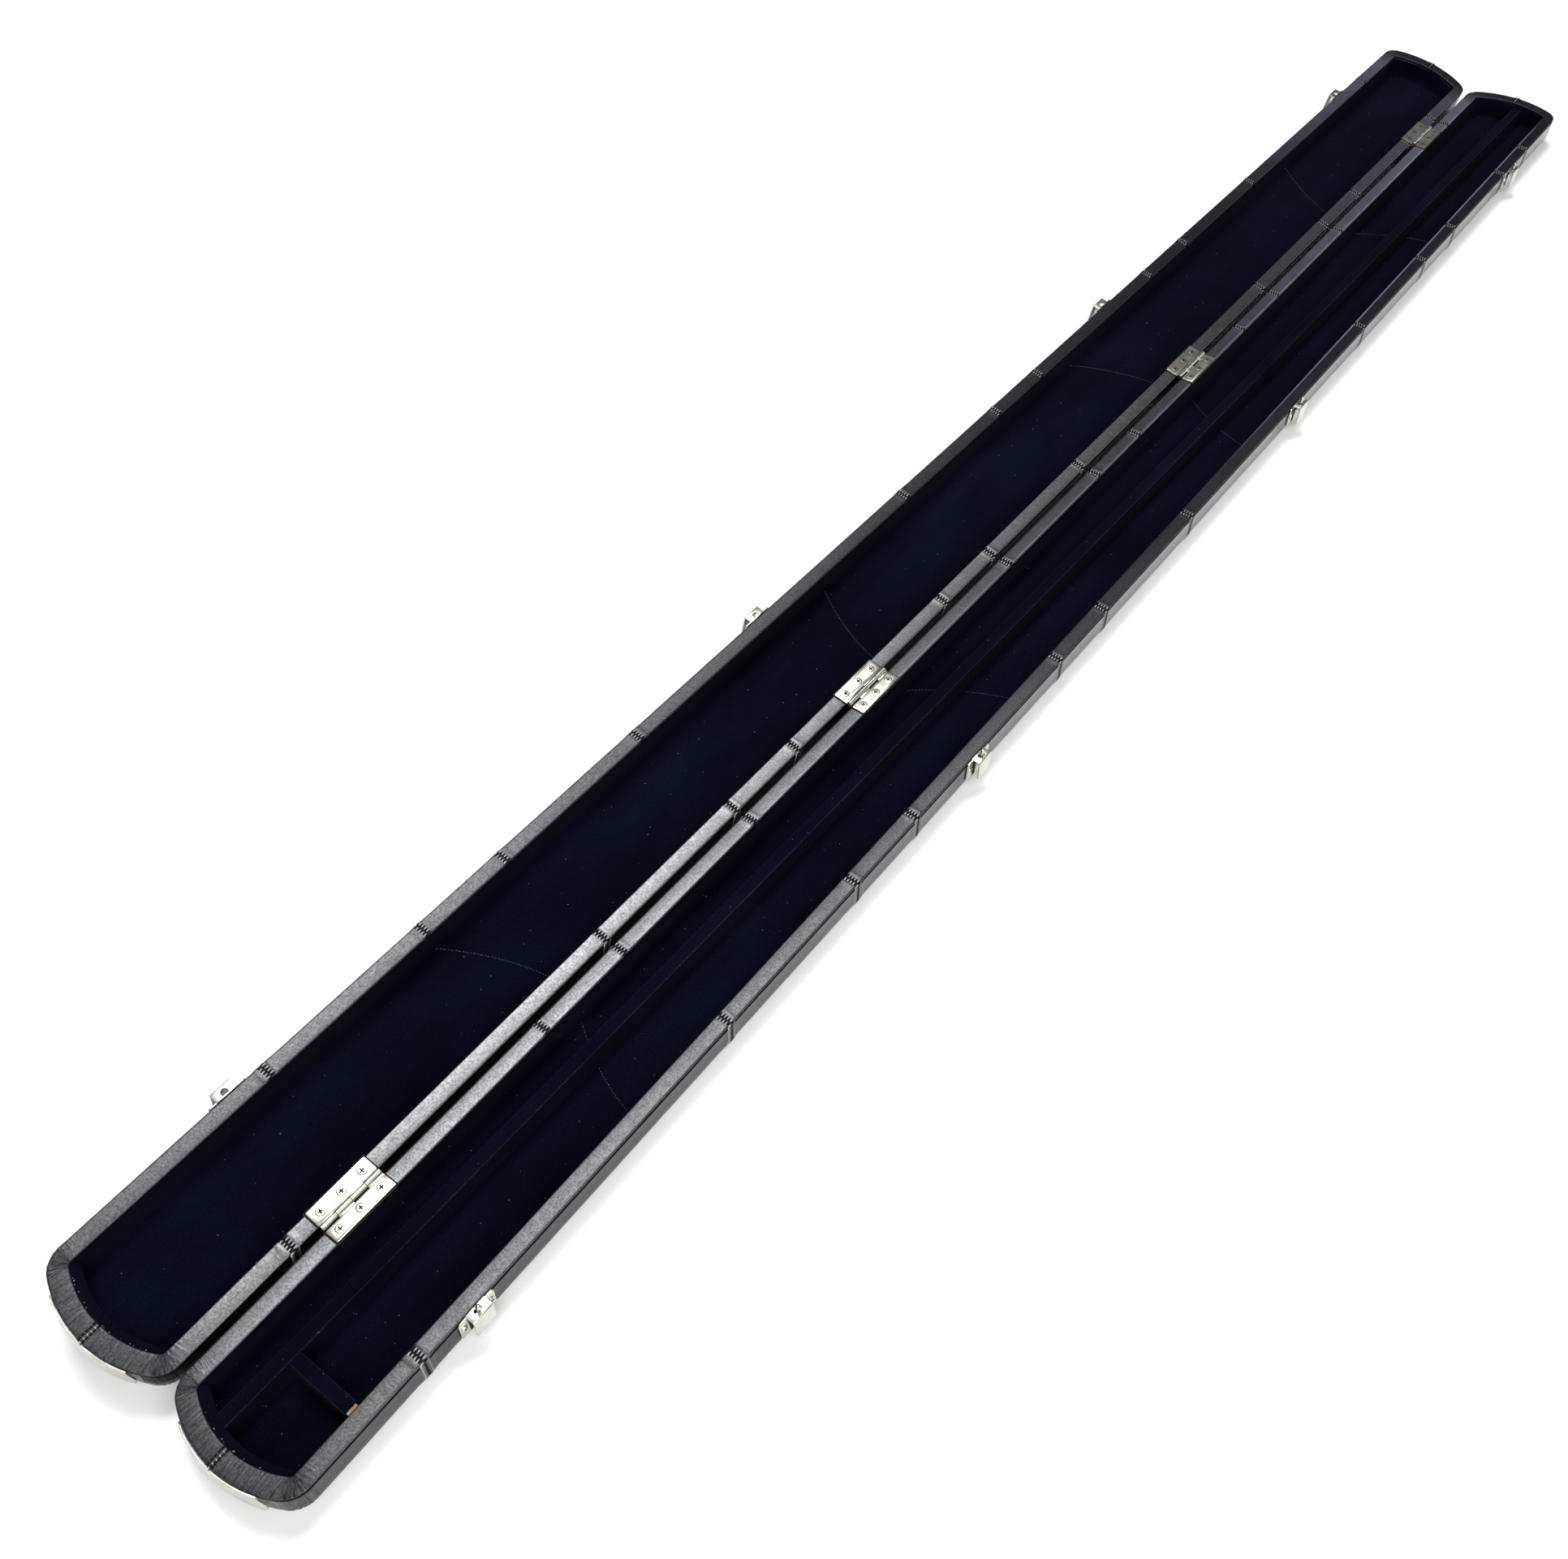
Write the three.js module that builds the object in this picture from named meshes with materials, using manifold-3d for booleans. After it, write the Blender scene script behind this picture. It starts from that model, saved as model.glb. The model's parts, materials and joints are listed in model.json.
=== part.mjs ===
// A long hinged case for one-piece billiard cues, lying open with its lid leaning back.
//
// Millimetres, +Z up. +Y runs along the case from the butt end to the tip end, and +X runs
// from the hinges to the latches of the base tray. The origin is the centre of the base
// tray's underside.

import * as THREE from 'three';
import { mergeVertices } from 'three/addons/utils/BufferGeometryUtils.js';
import Module from 'manifold-3d';

const wasm = await Module();
wasm.setup();

// ---------------------------------------------------------------- driving dimensions

const CASE_LENGTH = 1546.8;
const TRAY_WIDTH = 81.7;
const BASE_DEPTH = 24.5;
const CAVITY_DEPTH = 18;

const RIM_WIDTH = 9.3;
const RIM_WIDTH_AT_APEX = 10.4;
const END_RADIUS = 68;
const CORNER_RADIUS = 15;
const CAVITY_END_RADIUS = 60;
const CAVITY_CORNER_RADIUS = 2.5;
const EDGE_RADIUS = 10;

const LEATHER = 1.2;
const VELVET = 0.8;
const VELVET_SETBACK = 0.2;
const GAP = 0.3;
const LEATHER_JOIN_HEIGHT = 6;
const END_BLOCK_START = 745;

const REST_TILT = THREE.MathUtils.degToRad(11);

const HINGE_STATIONS = [-650, -218, 209.4, 650];
const HINGE_GAP = 3.9;
const HINGE_LENGTH = 38.2;
const HINGE_REACH = 9.25;
const LEAF = 0.7;
const KNUCKLE_COUNT = 4;
const KNUCKLE_RADIUS = 1.7;
const PIN_RADIUS = 0.8;
const KNUCKLE_LAP = 0.5;
const PIN_RISE = GAP + LEAF + GAP / 2;

const LATCH_STATIONS = [-651.8, -221.7, 217.1, 645.2];
const HOOD_LENGTH = 12.6;
const HOOD_REACH = 6.2;
const HOOD_HEIGHT = 14;
const HOOD_SHEET = 0.9;
const LATCH_PLATE_LENGTH = 23;
const PLATE_DROP = 1;
const LATCH_SCREW_SPACING = 17.6;
const LATCH_SCREW_HEAD_RADIUS = 2;
const SCREW_DOME_FLATNESS = 0.6;
const CATCH_X = 2.75;
const CATCH_HOLE_RADIUS = 2.4;
const CATCH_STEM_OFFSET = 0.3;
const CATCH_STEM_RADIUS = 1;
const CATCH_HEAD_RADIUS = 1.4;
const CATCH_HEAD_OFFSET = 0.4;
const CATCH_RISE = 5.3;
const SLIDE_BACK = 0.35;
const SLIDE_FRONT = 1.8;
const SLIDE_HALF_LENGTH = 4.5;
const SLIDE_HEIGHT = 2.2;
const SPRING_SHEET = 0.4;
const SPRING_HALF_LENGTH = 3.5;
const LID_SLOT_WIDTH = 4.5;
const LID_SLOT_END_X = CATCH_X + 1.6;

const END_PLATE_LENGTH = 58;
const END_PLATE_HEIGHT = 12;
const END_PLATE_SHEET = 0.7;

const DIVIDER_WIDTH = 7.8;
const DIVIDER_DROP = 4.5;
const DIVIDER_OFFSET = -4.06;
const DIVIDER_SLOPE = 0.01211;
const DIVIDER_SKIN = 0.6;
const CROSS_DIVIDER_Y = -718;
const CROSS_DIVIDER_WIDTH = 7.5;
const CROSS_DIVIDER_VELVET_END = 28;

// How finely the round stretches are faceted.
const END_STEPS = 8;
const CORNER_STEPS = 4;
const CAVITY_CORNER_STEPS = 2;
const EDGE_STEPS = 6;

// How far a cutting shape runs past the stock that it cuts.
const OVERSHOOT = 1;

// ---------------------------------------------------------------- derived dimensions

const HALF_LENGTH = CASE_LENGTH / 2;
const HALF_WIDTH = TRAY_WIDTH / 2;
const HINGE_X = -(HALF_WIDTH + HINGE_GAP / 2);
const BASE_FLOOR = BASE_DEPTH - CAVITY_DEPTH;

// The lid is a little deeper than the base: its hinge-side bottom edge just reaches the
// table when the lid leans at the rest tilt.
const CORNER_REACH = HINGE_GAP / 2 + EDGE_RADIUS;
const PIN_ABOVE_CORNER = BASE_DEPTH + PIN_RISE - EDGE_RADIUS;
const LID_DEPTH = EDGE_RADIUS - PIN_RISE
  + (PIN_ABOVE_CORNER + CORNER_REACH * Math.sin(REST_TILT)) / Math.cos(REST_TILT);

const OUTER = {
  halfWidth: HALF_WIDTH,
  apex: HALF_LENGTH,
  endRadius: END_RADIUS,
  cornerRadius: CORNER_RADIUS,
};
const CAVITY = {
  halfWidth: HALF_WIDTH - RIM_WIDTH,
  apex: HALF_LENGTH - RIM_WIDTH_AT_APEX,
  endRadius: CAVITY_END_RADIUS,
  cornerRadius: CAVITY_CORNER_RADIUS,
};

// ---------------------------------------------------------------- materials

const FINISHES = {
  leather: { color: 0x8c8b8e, roughness: 0.55, metalness: 0 },
  velvet: { color: 0x0b0d22, roughness: 0.95, metalness: 0 },
  wood: { color: 0xa87d5f, roughness: 0.7, metalness: 0 },
  nickel: { color: 0xd9d8d2, roughness: 0.25, metalness: 1 },
  springSteel: { color: 0x9a9a98, roughness: 0.35, metalness: 1 },
};

// ---------------------------------------------------------------- solids

function toSolid(geometry) {
  geometry.deleteAttribute('normal');
  geometry.deleteAttribute('uv');
  const merged = mergeVertices(geometry);
  const mesh = new wasm.Mesh({
    numProp: 3,
    vertProperties: new Float32Array(merged.attributes.position.array),
    triVerts: new Uint32Array(merged.index.array),
  });
  return new wasm.Manifold(mesh);
}

function toGeometry(solid) {
  const mesh = solid.getMesh();
  const geometry = new THREE.BufferGeometry();
  geometry.setAttribute('position', new THREE.BufferAttribute(mesh.vertProperties, 3));
  geometry.setIndex(new THREE.BufferAttribute(mesh.triVerts, 1));
  geometry.computeVertexNormals();
  return geometry;
}

function block(x0, x1, y0, y1, z0, z1) {
  const geometry = new THREE.BoxGeometry(x1 - x0, y1 - y0, z1 - z0);
  geometry.translate((x0 + x1) / 2, (y0 + y1) / 2, (z0 + z1) / 2);
  return toSolid(geometry);
}

function prism(points, z0, z1) {
  const options = { depth: z1 - z0, bevelEnabled: false };
  const geometry = new THREE.ExtrudeGeometry(new THREE.Shape(points), options);
  geometry.translate(0, 0, z0);
  return toSolid(geometry);
}

function rodAlongY(radius, x, z, y0, y1) {
  const geometry = new THREE.CylinderGeometry(radius, radius, y1 - y0, 12);
  geometry.translate(x, (y0 + y1) / 2, z);
  return toSolid(geometry);
}

function rodAlongZ(radius, x, y, z0, z1, sides = 16) {
  const geometry = new THREE.CylinderGeometry(radius, radius, z1 - z0, sides);
  geometry.rotateX(Math.PI / 2);
  geometry.translate(x, y, (z0 + z1) / 2);
  return toSolid(geometry);
}

function screwDome(radius, x, y, z) {
  const geometry = new THREE.SphereGeometry(radius, 8, 6);
  geometry.scale(SCREW_DOME_FLATNESS, 1, 1);
  geometry.translate(x, y, z);
  return toSolid(geometry);
}

// Joins a stack of rings, each with the same number of points, into one closed solid.
function stack(rings) {
  const count = rings[0].points.length;
  const positions = [];
  for (const { points, z } of rings) {
    for (const point of points) positions.push(point.x, point.y, z);
  }
  const index = [];
  for (let level = 0; level + 1 < rings.length; level += 1) {
    for (let i = 0; i < count; i += 1) {
      const a = level * count + i;
      const b = level * count + ((i + 1) % count);
      index.push(a, b, b + count, a, b + count, a + count);
    }
  }
  const top = (rings.length - 1) * count;
  for (let i = 1; i + 1 < count; i += 1) {
    index.push(0, i + 1, i);
    index.push(top, top + i, top + i + 1);
  }
  const geometry = new THREE.BufferGeometry();
  geometry.setAttribute('position', new THREE.Float32BufferAttribute(positions, 3));
  geometry.setIndex(index);
  return toSolid(geometry);
}

// ---------------------------------------------------------------- outlines

function arcPoints(x, y, radius, from, to, steps) {
  const points = [];
  for (let i = 0; i <= steps; i += 1) {
    const angle = from + ((to - from) * i) / steps;
    points.push(new THREE.Vector2(x + radius * Math.cos(angle), y + radius * Math.sin(angle)));
  }
  return points;
}

// A long outline with bowed ends: the end arc runs into the straight sides through tighter
// corner arcs. Insetting it keeps every arc concentric, so offsets stay parallel.
function bowEndedOutline(form, inset, cornerSteps) {
  const side = form.halfWidth - inset;
  const corner = form.cornerRadius - inset;
  const end = form.endRadius - inset;
  const arcY = form.apex - form.endRadius;
  const cornerX = side - corner;
  const cornerY = arcY + Math.sqrt((end - corner) ** 2 - cornerX ** 2);
  const turn = Math.PI / 2 - Math.atan2(cornerX, cornerY - arcY);
  const farEnd = [
    ...arcPoints(cornerX, cornerY, corner, 0, turn, cornerSteps),
    ...arcPoints(0, arcY, end, turn, Math.PI - turn, END_STEPS).slice(1, -1),
    ...arcPoints(-cornerX, cornerY, corner, Math.PI - turn, Math.PI, cornerSteps),
  ];
  const nearEnd = farEnd.map((point) => new THREE.Vector2(-point.x, -point.y));
  return [...farEnd, ...nearEnd];
}

// The tray's outer form shrunk by an inset, with its rounded bottom edge, up to a given height.
function trayEnvelope(inset, top) {
  const radius = EDGE_RADIUS - inset;
  const rings = [];
  for (let i = 0; i <= EDGE_STEPS; i += 1) {
    const angle = ((Math.PI / 2) * i) / EDGE_STEPS;
    const ringInset = inset + radius * (1 - Math.sin(angle));
    const z = inset + radius * (1 - Math.cos(angle));
    rings.push({ points: bowEndedOutline(OUTER, ringInset, CORNER_STEPS), z });
  }
  rings.push({ points: bowEndedOutline(OUTER, inset, CORNER_STEPS), z: top });
  return stack(rings);
}

function cavityPrism(outset, z0, z1) {
  return prism(bowEndedOutline(CAVITY, -outset, CAVITY_CORNER_STEPS), z0, z1);
}

// ---------------------------------------------------------------- meshes

function addMesh(group, name, finish, solid) {
  const mesh = new THREE.Mesh(toGeometry(solid), new THREE.MeshStandardMaterial(FINISHES[finish]));
  mesh.name = name;
  group.add(mesh);
}

// Everything below works in a tray's own frame: z = 0 is its underside, and hingeSide is -1
// where the hinges are on the -X side, as on the base, and +1 on the lid.

function addWoodenFrame(group, prefix, hingeSide, depth) {
  const woodInset = LEATHER + GAP;
  const velvetOuter = VELVET_SETBACK + VELVET;
  const rimTop = depth - woodInset;
  const below = -OVERSHOOT;
  const hollow = cavityPrism(velvetOuter + GAP, below, depth);
  const ring = trayEnvelope(woodInset, rimTop).subtract(hollow);

  const reach = HALF_LENGTH + OVERSHOOT;
  const half = HALF_WIDTH + OVERSHOOT;
  const railEnd = END_BLOCK_START - GAP;
  const right = ring.intersect(block(0, half, -railEnd, railEnd, below, depth));
  const left = ring.intersect(block(-half, 0, -railEnd, railEnd, below, depth));
  addMesh(group, `${prefix}_hinge_rail`, 'wood', hingeSide < 0 ? left : right);
  addMesh(group, `${prefix}_latch_rail`, 'wood', hingeSide < 0 ? right : left);

  const buttBlock = ring.intersect(block(-half, half, -reach, -END_BLOCK_START, below, depth));
  const tipBlock = ring.intersect(block(-half, half, END_BLOCK_START, reach, below, depth));
  addMesh(group, `${prefix}_butt_block`, 'wood', buttBlock);
  addMesh(group, `${prefix}_tip_block`, 'wood', tipBlock);

  const boardTop = depth - CAVITY_DEPTH - VELVET - GAP;
  const board = trayEnvelope(woodInset, depth).intersect(cavityPrism(velvetOuter, below, boardTop));
  addMesh(group, `${prefix}_floor_board`, 'wood', board);
}

function addLeather(group, prefix, depth) {
  const outside = trayEnvelope(0, depth);
  const inside = trayEnvelope(LEATHER, depth - LEATHER);
  const half = HALF_WIDTH + OVERSHOOT;
  const reach = HALF_LENGTH + OVERSHOOT;
  const above = depth + OVERSHOOT;
  const lower = block(-half, half, -reach, reach, -OVERSHOOT, LEATHER_JOIN_HEIGHT);
  const upper = block(-half, half, -reach, reach, LEATHER_JOIN_HEIGHT + GAP, above);
  const bottom = outside.intersect(lower).subtract(inside);
  const mouth = cavityPrism(0, -OVERSHOOT, above);
  const sides = outside.intersect(upper).subtract(inside).subtract(mouth);
  addMesh(group, `${prefix}_leather_bottom`, 'leather', bottom);
  addMesh(group, `${prefix}_leather_sides`, 'leather', sides);
}

function addVelvetLining(group, prefix, depth) {
  const floor = depth - CAVITY_DEPTH;
  const top = depth - LEATHER - GAP;
  const outside = cavityPrism(VELVET_SETBACK + VELVET, floor - VELVET, top);
  const inside = cavityPrism(VELVET_SETBACK, floor, depth);
  addMesh(group, `${prefix}_velvet_lining`, 'velvet', outside.subtract(inside));
}

// A thin curved strip screwed to the butt end's wall just below the rim.
function addEndPlate(group, prefix, depth) {
  const outerFace = bowEndedOutline(OUTER, -(GAP + END_PLATE_SHEET), CORNER_STEPS);
  const innerFace = bowEndedOutline(OUTER, -GAP, CORNER_STEPS);
  const outer = prism(outerFace, 0, depth);
  const inner = prism(innerFace, -OVERSHOOT, depth + OVERSHOOT);
  const top = depth - LEATHER;
  const half = END_PLATE_LENGTH / 2;
  const front = -HALF_LENGTH - GAP - END_PLATE_SHEET - OVERSHOOT;
  const back = -HALF_LENGTH + END_PLATE_LENGTH / 2;
  const window = block(-half, half, front, back, top - END_PLATE_HEIGHT, top);
  addMesh(group, `${prefix}_end_plate`, 'nickel', outer.subtract(inner).intersect(window));
}

// ---------------------------------------------------------------- hinges

// One leaf lies on the rim and wraps into every second knuckle. towards is the X direction
// from the pin to the tray, and z = 0 is the rim plane; x = 0 is the pin line.
function hingeLeaf(y, towards, firstKnuckle) {
  const near = y - HINGE_LENGTH / 2;
  const plateStart = KNUCKLE_RADIUS + GAP;
  const plateEnd = HINGE_GAP / 2 + HINGE_REACH;
  const pitch = HINGE_LENGTH / KNUCKLE_COUNT;
  const spanX = (a, b) => (towards > 0 ? [a, b] : [-b, -a]);

  let leaf = block(...spanX(plateStart, plateEnd), near, near + HINGE_LENGTH, GAP, GAP + LEAF);
  for (let k = firstKnuckle; k < KNUCKLE_COUNT; k += 2) {
    const y0 = near + k * pitch + GAP / 2;
    const y1 = near + (k + 1) * pitch - GAP / 2;
    const link = spanX(PIN_RADIUS + KNUCKLE_LAP / 2, plateStart + KNUCKLE_LAP);
    leaf = leaf.add(block(...link, y0, y1, GAP, GAP + LEAF));
    leaf = leaf.add(rodAlongY(KNUCKLE_RADIUS, 0, PIN_RISE, y0, y1));
  }
  const boreStart = near - OVERSHOOT;
  const boreEnd = near + HINGE_LENGTH + OVERSHOOT;
  return leaf.subtract(rodAlongY(PIN_RADIUS + GAP, 0, PIN_RISE, boreStart, boreEnd));
}

function hingePin(y) {
  const half = HINGE_LENGTH / 2;
  return rodAlongY(PIN_RADIUS, 0, PIN_RISE, y - half, y + half);
}

// ---------------------------------------------------------------- latches

// A folded sheet hood on the latch wall: a back plate with screw tabs, a flat top level with
// the rim and a front apron. x = 0 is the wall, +x points out, z = 0 is the rim plane.
function latchHood(y) {
  const plateEnd = GAP + HOOD_SHEET;
  const halfPlate = LATCH_PLATE_LENGTH / 2;
  const halfHood = HOOD_LENGTH / 2;
  const plateBottom = -HOOD_HEIGHT - PLATE_DROP;
  let hood = block(GAP, plateEnd, y - halfPlate, y + halfPlate, plateBottom, -HOOD_SHEET / 2);
  hood = hood.add(block(GAP, HOOD_REACH, y - halfHood, y + halfHood, -HOOD_SHEET, 0));
  hood = hood.add(
    block(HOOD_REACH - HOOD_SHEET, HOOD_REACH, y - halfHood, y + halfHood, -HOOD_HEIGHT, 0),
  );
  for (const end of [-1, 1]) {
    const screwY = y + (end * LATCH_SCREW_SPACING) / 2;
    const head = screwDome(LATCH_SCREW_HEAD_RADIUS, plateEnd, screwY, -HOOD_HEIGHT / 2);
    const outside = block(GAP, HOOD_REACH, screwY - halfHood, screwY + halfHood, -HOOD_HEIGHT, 0);
    hood = hood.add(head.intersect(outside));
  }
  return hood;
}

function baseHood(y) {
  const hole = rodAlongZ(CATCH_HOLE_RADIUS, CATCH_X, y, -HOOD_SHEET - OVERSHOOT, OVERSHOOT);
  return latchHood(y).subtract(hole);
}

// The lid's hood has a round-ended slot in its top that the catch passes through.
function lidHood(y) {
  const radius = LID_SLOT_WIDTH / 2;
  const roundX = LID_SLOT_END_X - radius;
  const bottom = -HOOD_SHEET - OVERSHOOT;
  const roundEnd = rodAlongZ(radius, roundX, y, bottom, OVERSHOOT);
  const slot = block(GAP + HOOD_SHEET, roundX, y - radius, y + radius, bottom, OVERSHOOT);
  return latchHood(y).subtract(slot.add(roundEnd));
}

// The catch: a slide under the base hood's top with a round-headed stem that stands up
// through the hole. The head overhangs the stem outwards, to hook behind the lid's slot.
function latchCatch(y) {
  const stemX = CATCH_X + CATCH_STEM_OFFSET;
  const top = -HOOD_SHEET - GAP;
  const bottom = top - SLIDE_HEIGHT;
  const [back, front] = [CATCH_X - SLIDE_BACK, CATCH_X + SLIDE_FRONT];
  const slide = block(back, front, y - SLIDE_HALF_LENGTH, y + SLIDE_HALF_LENGTH, bottom, top);
  const headBottom = 2 * PIN_RISE + HOOD_SHEET + GAP;
  const stem = rodAlongZ(CATCH_STEM_RADIUS, stemX, y, top - GAP, headBottom + GAP, 12);
  const head = rodAlongZ(CATCH_HEAD_RADIUS, stemX + CATCH_HEAD_OFFSET, y, headBottom, CATCH_RISE, 16);
  return slide.add(stem).add(head);
}

// A flat spring behind the apron that pushes the catch outwards.
function catchSpring(y) {
  const x = GAP + HOOD_SHEET + GAP;
  const half = SPRING_HALF_LENGTH;
  const top = -HOOD_SHEET - 3 * GAP - SLIDE_HEIGHT;
  return block(x, x + SPRING_SHEET, y - half, y + half, -HOOD_HEIGHT, top);
}

// ---------------------------------------------------------------- dividers

const dividerX = (y) => DIVIDER_OFFSET + DIVIDER_SLOPE * y;

// A straight bar along the slanting divider line, cut to the cavity's bowed ends.
function slantedBar(halfWidth, endInset, z0, z1) {
  const corners = [[-1, -1], [1, -1], [1, 1], [-1, 1]].map(([side, end]) => {
    const y = end * HALF_LENGTH;
    return new THREE.Vector2(dividerX(y) + side * halfWidth, y);
  });
  const ends = cavityPrism(-endInset, z0 - OVERSHOOT, z1 + OVERSHOOT);
  return prism(corners, z0, z1).intersect(ends);
}

function addDividers(group) {
  const endInset = GAP - VELVET_SETBACK;
  const foot = BASE_FLOOR + GAP;
  const top = BASE_DEPTH - DIVIDER_DROP;
  const coreTop = top - DIVIDER_SKIN - GAP;
  const half = DIVIDER_WIDTH / 2;
  const hollow = half - DIVIDER_SKIN;

  addMesh(group, 'long_divider', 'wood', slantedBar(hollow - GAP, endInset, foot, coreTop));
  const cover = slantedBar(half, endInset, foot, top);
  const room = slantedBar(hollow, -OVERSHOOT, foot - OVERSHOOT, top - DIVIDER_SKIN);
  addMesh(group, 'long_divider_velvet', 'velvet', cover.subtract(room));

  const crossHalf = CROSS_DIVIDER_WIDTH / 2;
  const crossHollow = crossHalf - DIVIDER_SKIN;
  const crossCore = crossHollow - GAP;
  const y = CROSS_DIVIDER_Y;
  const start = dividerX(y + crossHalf) + half + GAP;
  const coreEnd = CAVITY.halfWidth - endInset;
  const core = block(start, coreEnd, y - crossCore, y + crossCore, foot, coreTop);
  addMesh(group, 'cross_divider', 'wood', core);
  const velvetEnd = CROSS_DIVIDER_VELVET_END;
  const sleeve = block(start, velvetEnd, y - crossHalf, y + crossHalf, foot, top);
  const [from, to] = [start - OVERSHOOT, velvetEnd + OVERSHOOT];
  const [low, high] = [foot - OVERSHOOT, top - DIVIDER_SKIN];
  const sleeveRoom = block(from, to, y - crossHollow, y + crossHollow, low, high);
  addMesh(group, 'cross_divider_velvet', 'velvet', sleeve.subtract(sleeveRoom));
}

// ---------------------------------------------------------------- assembly

function makeTray(prefix, hingeSide, depth) {
  const tray = new THREE.Group();
  addWoodenFrame(tray, prefix, hingeSide, depth);
  addLeather(tray, prefix, depth);
  addVelvetLining(tray, prefix, depth);
  addEndPlate(tray, prefix, depth);
  return tray;
}

const cueCase = new THREE.Group();

const base = makeTray('base', -1, BASE_DEPTH);
addDividers(base);
cueCase.add(base);

// The pin line, with x = 0 and z = 0 on the base's rim plane.
const baseHinge = new THREE.Group();
baseHinge.position.set(HINGE_X, 0, BASE_DEPTH);
cueCase.add(baseHinge);

// The lid turns about the pin line: its group's origin is on the pin.
const lidPivot = new THREE.Group();
lidPivot.position.set(HINGE_X, 0, BASE_DEPTH + PIN_RISE);
lidPivot.rotation.y = REST_TILT;
cueCase.add(lidPivot);

const lid = makeTray('lid', 1, LID_DEPTH);
lid.position.set(HINGE_X, 0, -PIN_RISE - LID_DEPTH);
lidPivot.add(lid);

const lidHinge = new THREE.Group();
lidHinge.position.z = -PIN_RISE;
lidPivot.add(lidHinge);

HINGE_STATIONS.forEach((y, i) => {
  addMesh(baseHinge, `hinge_${i + 1}_base_leaf`, 'nickel', hingeLeaf(y, 1, 1));
  addMesh(baseHinge, `hinge_${i + 1}_pin`, 'nickel', hingePin(y));
  addMesh(lidHinge, `hinge_${i + 1}_lid_leaf`, 'nickel', hingeLeaf(y, -1, 0));
});

const baseLatchWall = new THREE.Group();
baseLatchWall.position.set(HALF_WIDTH, 0, BASE_DEPTH);
base.add(baseLatchWall);

// Turned half round about Z, so the hoods point away from the lid; the stations are mirrored.
const lidLatchWall = new THREE.Group();
lidLatchWall.position.set(-HALF_WIDTH, 0, LID_DEPTH);
lidLatchWall.rotation.z = Math.PI;
lid.add(lidLatchWall);

LATCH_STATIONS.forEach((y, i) => {
  addMesh(baseLatchWall, `latch_${i + 1}_base_hood`, 'nickel', baseHood(y));
  addMesh(baseLatchWall, `latch_${i + 1}_catch`, 'nickel', latchCatch(y));
  addMesh(baseLatchWall, `latch_${i + 1}_spring`, 'springSteel', catchSpring(y));
  addMesh(lidLatchWall, `latch_${i + 1}_lid_hood`, 'nickel', lidHood(-y));
});

export default cueCase;
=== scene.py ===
"""Looks for a long hinged cue case lying open: patchwork leather, velvet lining and nickel fittings.

Every length is in millimetres until a mesh is made, but for the lamps and the camera, which are in
metres. A tray's own frame has x across (+x as in the row frame), y along the case and z = 0 on the
tray's rim plane.
"""

import json
import math
import random
from dataclasses import dataclass

import bmesh
import bpy
import numpy as np
from mathutils import Matrix, Vector, noise


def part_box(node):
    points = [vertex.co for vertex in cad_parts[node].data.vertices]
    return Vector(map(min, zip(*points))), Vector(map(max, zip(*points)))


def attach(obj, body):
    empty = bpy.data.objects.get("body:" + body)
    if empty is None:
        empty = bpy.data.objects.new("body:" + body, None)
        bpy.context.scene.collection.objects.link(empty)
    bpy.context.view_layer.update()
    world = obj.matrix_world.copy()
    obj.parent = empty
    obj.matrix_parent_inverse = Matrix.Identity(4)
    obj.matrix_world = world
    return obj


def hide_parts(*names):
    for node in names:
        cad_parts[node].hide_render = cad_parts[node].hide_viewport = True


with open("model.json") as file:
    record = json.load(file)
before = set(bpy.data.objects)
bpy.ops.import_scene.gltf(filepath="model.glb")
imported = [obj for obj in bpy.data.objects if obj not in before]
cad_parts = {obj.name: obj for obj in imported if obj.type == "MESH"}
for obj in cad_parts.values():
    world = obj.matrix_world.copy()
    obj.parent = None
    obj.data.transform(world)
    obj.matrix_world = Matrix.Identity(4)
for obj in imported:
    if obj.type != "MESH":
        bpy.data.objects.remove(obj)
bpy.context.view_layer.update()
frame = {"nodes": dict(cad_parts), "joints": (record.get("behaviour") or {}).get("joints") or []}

# ---------------------------------------------------------------- sizes, in millimetres

MM = 0.001
BASE_DEPTH = 24.5
CAVITY_DEPTH = 18.0
RIM_WIDTH = 9.3
RIM_WIDTH_AT_APEX = 10.4
END_RADIUS = 68.0
CORNER_RADIUS = 15.0
CAVITY_END_RADIUS = 60.0
CAVITY_CORNER_RADIUS = 2.5
EDGE_RADIUS = 10.0
LEATHER = 1.2
INNER_ROLL = 0.9
OUTER_ROLL = 0.8
GROOVE_TOP = -0.9
GROOVE_BOTTOM = -2.8
WALL_TOP = -2.2
REST_TILT = math.radians(11)
# The distance along the outer outline from an end's middle to the middle of its corner arc.
CORNER_AT = 42.5

HINGE_REACH = 11.2
LEAF_BOTTOM = 0.3
LEAF_TOP = 1.0
KNUCKLE_RADIUS = 1.7
KNUCKLE_COUNT = 4
KNUCKLE_BORE = 1.0
KNUCKLE_GAP = 0.12
HINGE_SCREW_SPACING = 13.5
HINGE_SCREW_X = 6.7
SCREW_RADIUS = 2.35
SCREW_HOLE = 2.62
# The painted shadow sheet under a hinge leaf: how far it shows past the leaf, and where it starts from
# the pin.
LEAF_SHADOW_EDGE = 0.9
LEAF_SHADOW_START = 1.9
KNUCKLE_EDGE = 0.12
FITTING_CORNER = 0.9
FITTING_GAP = 0.3

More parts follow.
